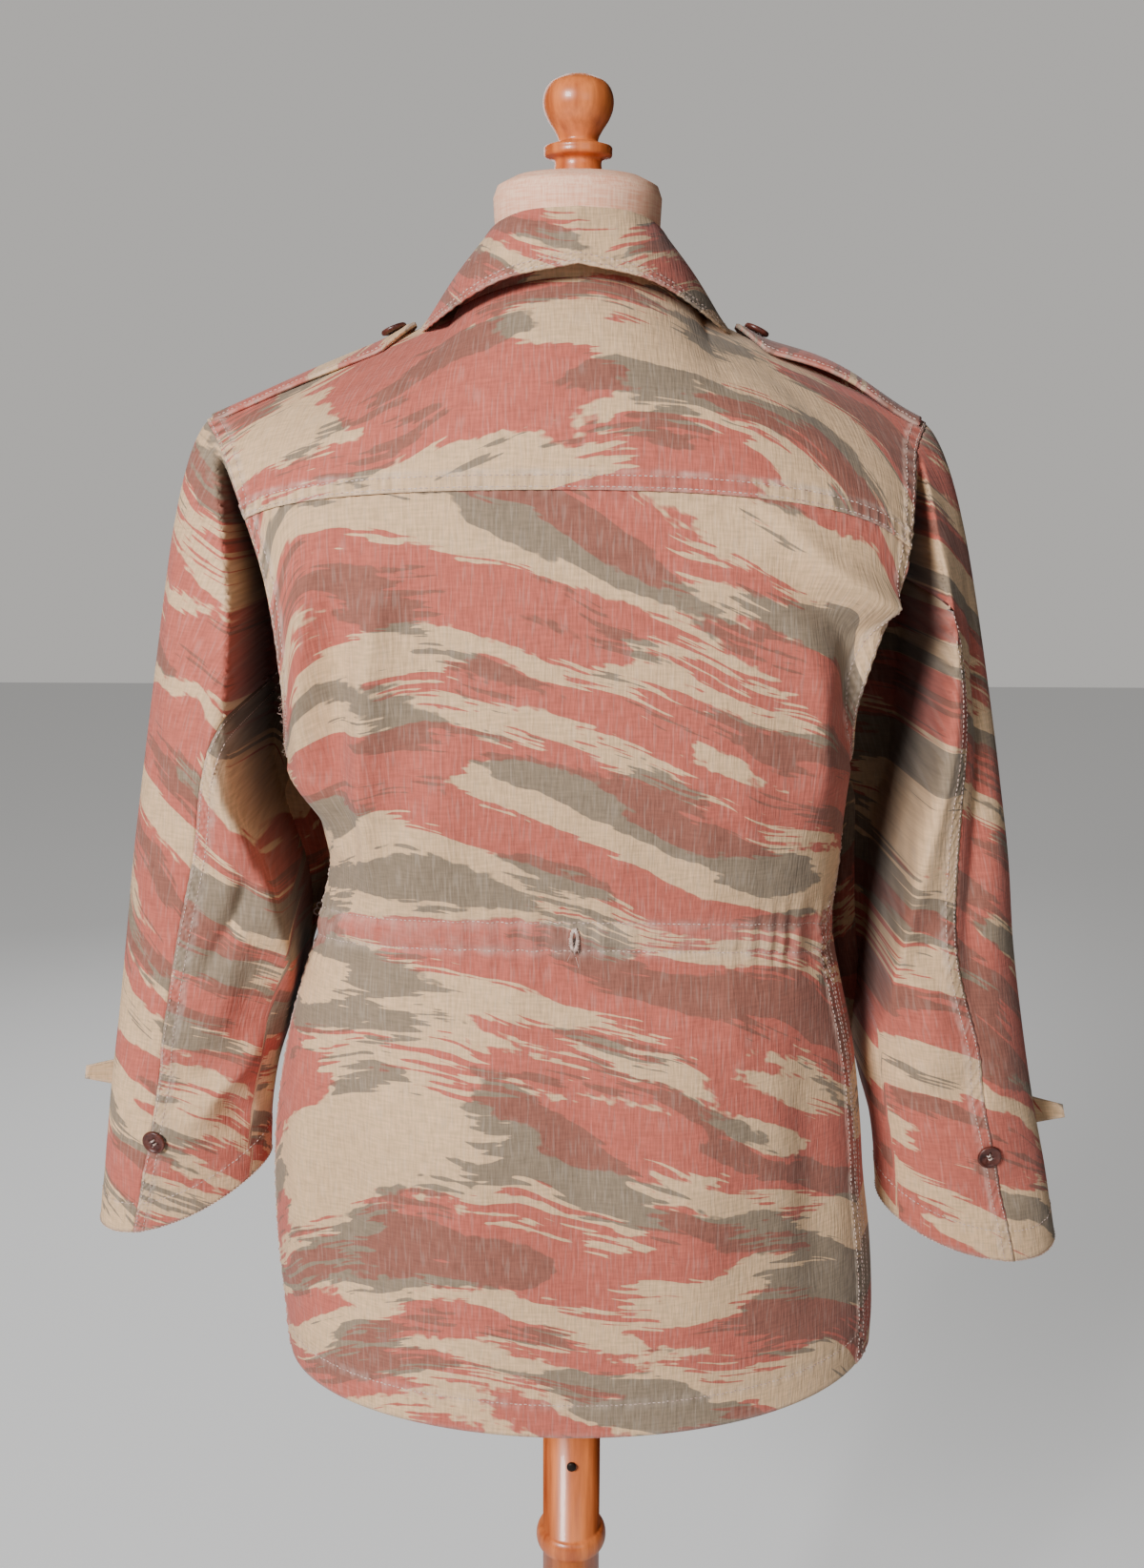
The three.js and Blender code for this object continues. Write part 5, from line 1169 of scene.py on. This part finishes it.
strap_shares = spaced((0, STRAP_POINT, 50), (STRAP_POINT, 1, 26))
straps = {}
for side in (1, -1):
    tip = abs(armhole(side, 0.0)[0])
    ends = (tip - 4, STRAP_END_X[side])
    first, last = (NECK_SHARE + (1 - NECK_SHARE) * (x - NECK_HALF) / (tip - NECK_HALF) for x in ends)
    across, along = np.meshgrid(np.linspace(-1, 1, 25), strap_shares)
    u = first + (last - first) * along
    narrowing = np.maximum(along - STRAP_POINT, 0) / 0.14
    width = np.where(along < STRAP_POINT, 1, 1 - 0.9 * narrowing)
    lying = shoulder_at(side, u, across)
    over = shoulder_at(side, u, across + 0.12) - shoulder_at(side, u, across - 0.12)
    normal = unit(np.cross(np.gradient(lying, axis=0), over))
    normal *= np.sign(normal[..., 2:])
    raised = normal * strap_lift(side, along)[..., None]
    strap = Cloth(shoulder_at(side, u, across * width) + raised, (0, 0, 1))
    strap.normals = normal
    strap.height += 2.7
    edge = np.minimum(np.minimum(strap.start, strap.end), strap.top)
    strap.height -= 1.0 * near(edge, 0, 1.1)
    strap.height -= 0.35 * near(edge, STRAP_ROW, 1.2)
    strap.height += 0.25 * np.sin(strap.bottom / 1.5) * near(edge, 3.2, 2.4)
    strap.wear += 1.0 * near(edge, 0, 1.6)
    name = "shoulder_strap_" + SIDES[side]
    sew(name, strap, [name], (7 + side, 0.11), STRAP_THICKNESS)
    lines = [strap.at_distance(d, STRAP_ROW, 0.1, slice(2, 54)) for d in (strap.start, strap.end)]
    stitch(name + "_stitching", lines, **DOUBLED_STITCHES)
    straps[side] = strap


# ---- Buttons ----
# Dark brown four-hole plastic buttons, 17 mm across, sewn on with pinkish thread: six down the
# front, one on each shoulder strap and one on each cuff.

BUTTON_RADIUS, RIM_RADIUS, HOLE_RADIUS, HOLE_OUT = 8.5, 0.9, 0.95, 2.0
FRONT_BUTTON_LEVELS = (1322, 1225, 1140, 1050, 955, 860)
CUFF_BUTTON_ALONG, CUFF_BUTTON_OFF_SEAM = {1: 0.87, -1: 0.86}, 5.0

plastic = mottled("dark brown plastic", 0.34, 160.0, 3.0, "#3A1B17", "#6A382E", (0.3, 0.75))


def lathe(profile, sides):
    """A closed turned solid, as points in millimetres and faces."""
    angles = 2 * np.pi * np.arange(sides) / sides
    points = [(r * np.cos(a), r * np.sin(a), z) for r, z in profile for a in angles]
    return np.array(points), closed_faces(len(profile), sides)


# The pattern button: a dished disc with a rounded rim, whose four holes are cut once.
rim = [
    (BUTTON_RADIUS - RIM_RADIUS + RIM_RADIUS * math.cos(a), 1.7 + 1.3 * math.sin(a))
    for a in np.linspace(-1.2, 1.57, 8)]
disc = lathe([(6.4, 0.0), *rim, (6.9, 2.75), (6.2, 2.2), (5.4, 1.95), (2.0, 1.9)], 48)
pattern = solid("button_pattern", *disc, plastic, "button")
drill_points, drill_faces = lathe([(HOLE_RADIUS, -1), (HOLE_RADIUS, 5)], 14)
quarters = [math.pi / 4 + i * math.pi / 2 for i in range(4)]
drill_bodies = [
    (drill_points + (HOLE_OUT * math.cos(a), HOLE_OUT * math.sin(a), 0), drill_faces) for a in quarters]
drills = solid("button_holes", *joined(drill_bodies), plastic, "button")
cut = pattern.modifiers.new("holes", "BOOLEAN")
cut.operation, cut.object, cut.solver = "DIFFERENCE", drills, "EXACT"
bpy.context.view_layer.update()
button_mesh = bpy.data.meshes.new_from_object(pattern.evaluated_get(bpy.context.evaluated_depsgraph_get()))
bpy.data.objects.remove(pattern)
bpy.data.objects.remove(drills)


def sew_button(name, cloth, row, column, lift, spin=0.3):
    """A button lying on a panel at a row and a column, and the thread through its holes."""
    normal = unit(cloth.normals[row, column])
    turn = Vector(normal).to_track_quat("Z", "Y").to_matrix().to_4x4() @ Matrix.Rotation(spin, 4, "Z")
    seat = Matrix.Translation(Vector(cloth.lifted(lift)[row, column] * 0.001)) @ turn
    mesh = button_mesh.copy()
    mesh.transform(seat)
    mesh.name = name
    add_piece(name, mesh, [name])
    bars = []
    share = np.linspace(-1, 1, 9)
    for sign in (1, -1):
        for step in (-0.3, 0.3):
            bar = np.stack([1.5 * share, np.full(9, sign * 1.42 + step), 2.9 - 2.6 * np.abs(share) ** 4], -1)
            bar = np.array([seat @ Vector(p * 0.001) for p in bar]) * 1000
            bars.append(tube(bar, 0.34))
    solid(name + "_thread", *joined(bars), thread, "cloth")


for i, level in enumerate(FRONT_BUTTON_LEVELS):
    sew_button(f"front_button_{i + 1}", fronts[1], nearest(front_levels, level), nearest(front_u, 0), 0.4)
for side in (1, -1):
    sew_button("strap_button_" + SIDES[side], straps[side], nearest(strap_shares, 0.9), 12, 0.1, 0.9)
for side in (1, -1):
    under = sleeves[side, "under"]
    row = nearest(alongs, CUFF_BUTTON_ALONG[side])
    column = nearest(under.start[row], CUFF_BUTTON_OFF_SEAM)
    sew_button("cuff_button_" + SIDES[side], under, row, column, 0.2, 0.5)


# ---- Cuff tabs ----
# A pointed tab of doubled cloth on the front of each cuff, whose free end stands off past the
# sleeve's outer edge.

# How far along the sleeve each tab is sewn, and the place of its tip on the left sleeve's side
TAB = {1: (0.825, 357, -30, 953), -1: (0.855, 361, -30, 926)}
TAB_POINT, TAB_HALF, TAB_LIFT, TAB_ROW = 0.86, 11, 3.8, 2.6


def sleeve_normal(side, turn, along):
    across = sleeve_at(side, turn + 0.008, along) - sleeve_at(side, turn - 0.008, along)
    down = sleeve_at(side, turn, along + 0.01) - sleeve_at(side, turn, along - 0.01)
    normal = unit(np.cross(across, down))
    outwards = sleeve_at(side, turn, along) - sleeve_middle(side, along)
    return normal * np.sign((outwards * normal).sum(-1, keepdims=True))


def catmull(points, shares):
    """Points along a smooth curve through some others."""
    points = np.concatenate([2 * points[:1] - points[1:2], points, 2 * points[-1:] - points[-2:-1]])
    count = len(points) - 3
    place = np.clip(shares * count, 0, count - 1e-9)
    i = np.floor(place).astype(int)
    return slopes([points[i + k] for k in range(4)], place - i)


tab_shares, tab_across = np.linspace(0, 1, 61), np.linspace(-1, 1, 17)
for side in (1, -1):
    along_at, *tip = TAB[side]
    tip = np.array(tip, float) * (side, 1, 1)
    axis = unit(sleeve_middle(side, along_at - 0.04) - sleeve_middle(side, along_at + 0.04))
    turns = np.array([-0.26, -0.22, -0.18, -0.14, -0.1])
    lines = []
    for across in (-1, 0, 1):
        at = along_at - across * 0.02
        on_sleeve = sleeve_at(side, turns, at) + sleeve_normal(side, turns, at) * TAB_LIFT
        lines.append(catmull(np.concatenate([on_sleeve, [tip + axis * across * TAB_HALF]]), tab_shares))
    narrowing = np.maximum(tab_shares - TAB_POINT, 0) / 0.14
    width = np.where(tab_shares < TAB_POINT, 1, 1 - 0.55 * narrowing)
    low_edge, middle, high_edge = (line[:, None] for line in lines)
    outer_line = np.where(tab_across[None, :, None] > 0, high_edge, low_edge)
    amount = (np.abs(tab_across)[None] * width[:, None])[..., None]
    normal = unit(np.cross(np.gradient(lines[1], axis=0), axis))
    normal *= np.where(normal[:, 1:2] > 0, -1, 1)
    tab = Cloth(middle * (1 - amount) + outer_line * amount, (0, -1, 0))
    tab.normals = np.repeat(normal[:, None], len(tab_across), axis=1)
    edge = np.minimum(np.minimum(tab.start, tab.end), tab.top)
    tab.height -= 0.8 * near(edge, 0, 1.1)
    tab.wear += near(edge, 0, 1.6)
    name = "cuff_tab_" + SIDES[side]
    sew(name, tab, [name], (9 + side, 0.4), STRAP_THICKNESS)
    lines = [tab.at_distance(d, TAB_ROW, 0.1, slice(2, 46)) for d in (tab.start, tab.end)]
    stitch(name + "_stitching", lines, **DOUBLED_STITCHES)


# ---- Dress form ----
# A limbless torso padded and covered with linen, closed by a domed cap on its neck. Two halves
# meet in a seam down the middle.

linen, tree, shader = material("washed linen", {"Roughness": 0.9})
place = add(tree, "ShaderNodeTexCoord").outputs["Object"]
threads = []
for scale in ((900.0, 900.0, 60.0), (70.0, 70.0, 900.0)):
    stretched = add(tree, "ShaderNodeMapping", {}, {"Vector": place, "Scale": scale}).outputs["Vector"]
    drawn = add(tree, "ShaderNodeTexNoise", {}, {"Vector": stretched, "Scale": 1.0, "Detail": 1.0})
    threads.append(drawn.outputs["Fac"])
weave = add(tree, "ShaderNodeMath", {"operation": "ADD"}, dict(enumerate(threads))).outputs["Value"]
mean = add(tree, "ShaderNodeMath", {"operation": "MULTIPLY"}, {0: weave, 1: 0.5}).outputs["Value"]
tint(tree, mean, "#F0A888", "#FFCFAE", (0.33, 0.62))
bump = add(tree, "ShaderNodeBump", {}, {"Strength": 0.35, "Distance": 0.0005, "Height": weave})
tree.links.new(bump.outputs["Normal"], shader.inputs["Normal"])

FORM = {
    "z": [
        800, 860, 940, 1080, 1200, 1300, 1360, 1395, 1418.4, 1436.4, 1452.4, 1466.4, 1480, 1500, 1530,
        1551, 1558, 1563],
    "half": [160, 165, 160, 136, 155, 168, 180, 186, 182, 166, 138, 103, 69, 52.5, 51.5, 52.5, 50, 40],
    "back": [96, 98, 92, 74, 96, 104, 96, 84, 77, 71, 64, 57, 51, 49, 49.5, 50, 47.5, 38],
    "front": [104, 106, 103, 94, 116, 126, 112, 92, 70, 58, 46, 42, 42, 46, 49.5, 50, 47.5, 38],
    "power": [2.2, 2.2, 2.2, 2.2, 2.2, 2.2, 2.1, 1.9, 1.75, 1.6, 1.55, 1.6, 1.8, 2, 2, 2, 2, 2],
}
FORM_LEFT, FORM_Y, FORM_FOOT, CAP_TOP, FORM_SIDES = 1.006, 2, 800, 1566, 120
levels = spaced((FORM_FOOT, 1395, 40), (1395, 1551, 60), (1551, 1563, 10))
angle = 2 * np.pi * np.arange(FORM_SIDES) / FORM_SIDES
points = []
for z in levels:
    half, behind, before, power = (
        np.interp(z, FORM["z"], FORM[name]) for name in ("half", "back", "front", "power"))
    round_ = roundness(angle, power)
    seam = 1 - 0.006 * near(np.cos(angle) * half, 0, 1.6)
    x = np.cos(angle) * half * round_ * np.where(np.cos(angle) > 0, FORM_LEFT, 1)
    depth = np.where(np.sin(angle) > 0, behind, before)
    points.append(stack(x, FORM_Y + depth * np.sin(angle) * round_ * seam, z))
points = np.concatenate([*points, [[0, FORM_Y, FORM_FOOT], [0, FORM_Y, CAP_TOP]]])
foot_point, top_point = len(points) - 2, len(points) - 1
top_ring = (len(levels) - 1) * FORM_SIDES
faces = ring_faces(len(levels), FORM_SIDES)
faces += [(foot_point, (i + 1) % FORM_SIDES, i) for i in range(FORM_SIDES)]
faces += [(top_point, top_ring + i, top_ring + (i + 1) % FORM_SIDES) for i in range(FORM_SIDES)]
solid("form", points, faces, linen, "linen", ["form_torso"])


# ---- Turned stand ----
# A turned, stained and polished hardwood finial, pole and base. The finial and the form are
# screwed onto the pole, and one steel screw locks the form's height.

def hardwood(name, stretch):
    """Polished wood whose grain runs along the axis with the smallest stretch."""
    wood, tree, _ = material(name, {"Roughness": 0.36, "Coat Weight": 0.2})
    place = add(tree, "ShaderNodeTexCoord").outputs["Object"]
    drawn = add(tree, "ShaderNodeMapping", {}, {"Vector": place, "Scale": stretch}).outputs["Vector"]
    grain = add(tree, "ShaderNodeTexNoise", {}, {
        "Vector": drawn, "Scale": 1.0, "Detail": 5.0, "Roughness": 0.6})
    tint(tree, grain.outputs["Fac"], "#9C4620", "#EE8748", (0.3, 0.7))
    return wood


upright_grain = hardwood("polished red-brown hardwood", (90.0, 90.0, 7.0))
flat_grain = hardwood("polished red-brown hardwood board", (3.0, 60.0, 60.0))


def turned(name, profile, nodes, centre=(0, 0, 0), wood=upright_grain):
    """A turned piece whose rounded profile runs through (radius, height) pairs."""
    points, faces = lathe(profile, 96)
    solid(name, points + centre, faces, wood, "wood", nodes)


POLE_RADIUS, POLE_FOOT, POLE_TOP = 21.5, 28.3, 799.7
BEAD_LEVEL, BEAD_HALF, BEAD_OUT = 590, 9, 5
FINIAL = np.array([
    (15.5, 0), (14.5, 5), (15.5, 8), (20.5, 9.5), (21.2, 12.5), (20.5, 15.5), (13.5, 17.5), (12.5, 20), (15, 25),
    (19.5, 32), (21.8, 39), (21.2, 46), (17.5, 52), (10, 56)], float)
rounded = catmull(np.concatenate([FINIAL, np.zeros((len(FINIAL), 1))], 1), np.linspace(0, 1, 90))[:, :2]
turned("turned_finial", [*map(tuple, rounded), (5, 56.8), (1, 57)], ["finial"], (0, FORM_Y, CAP_TOP + 0.3))
bead_profile = [
    (POLE_RADIUS + BEAD_OUT * math.sqrt(1 - s * s), BEAD_LEVEL + BEAD_HALF * s)
    for s in np.linspace(-1, 1, 25)]
turned("turned_pole", [
    (POLE_RADIUS, POLE_FOOT), (POLE_RADIUS, 300), *bead_profile, (POLE_RADIUS, POLE_TOP)], ["pole"])
turned("turned_base", [
    (186, 0), (189, 1.2), (190, 4), (190, 14), (188, 19), (182, 23), (175, 24.6), (170, 25.2), (167, 26.6),
    (164, 28), (20, 28)], ["base"], wood=flat_grain)

steel, _, _ = material("blackened steel", {
    "Base Color": linear("#2C2521"), "Metallic": 0.8, "Roughness": 0.45})
points, faces = lathe([(3.1, 0), (3.5, 0.4), (3.5, 1.9), (3.0, 2.5)], 32)
turn = Matrix.Translation((0, 0.0218, 0.664)) @ Matrix.Rotation(-math.pi / 2, 4, "X")
points = np.array([turn @ Vector(p * 0.001) for p in points]) * 1000
solid("locking_screw", points, faces, steel, "steel", ["pole_screw"])
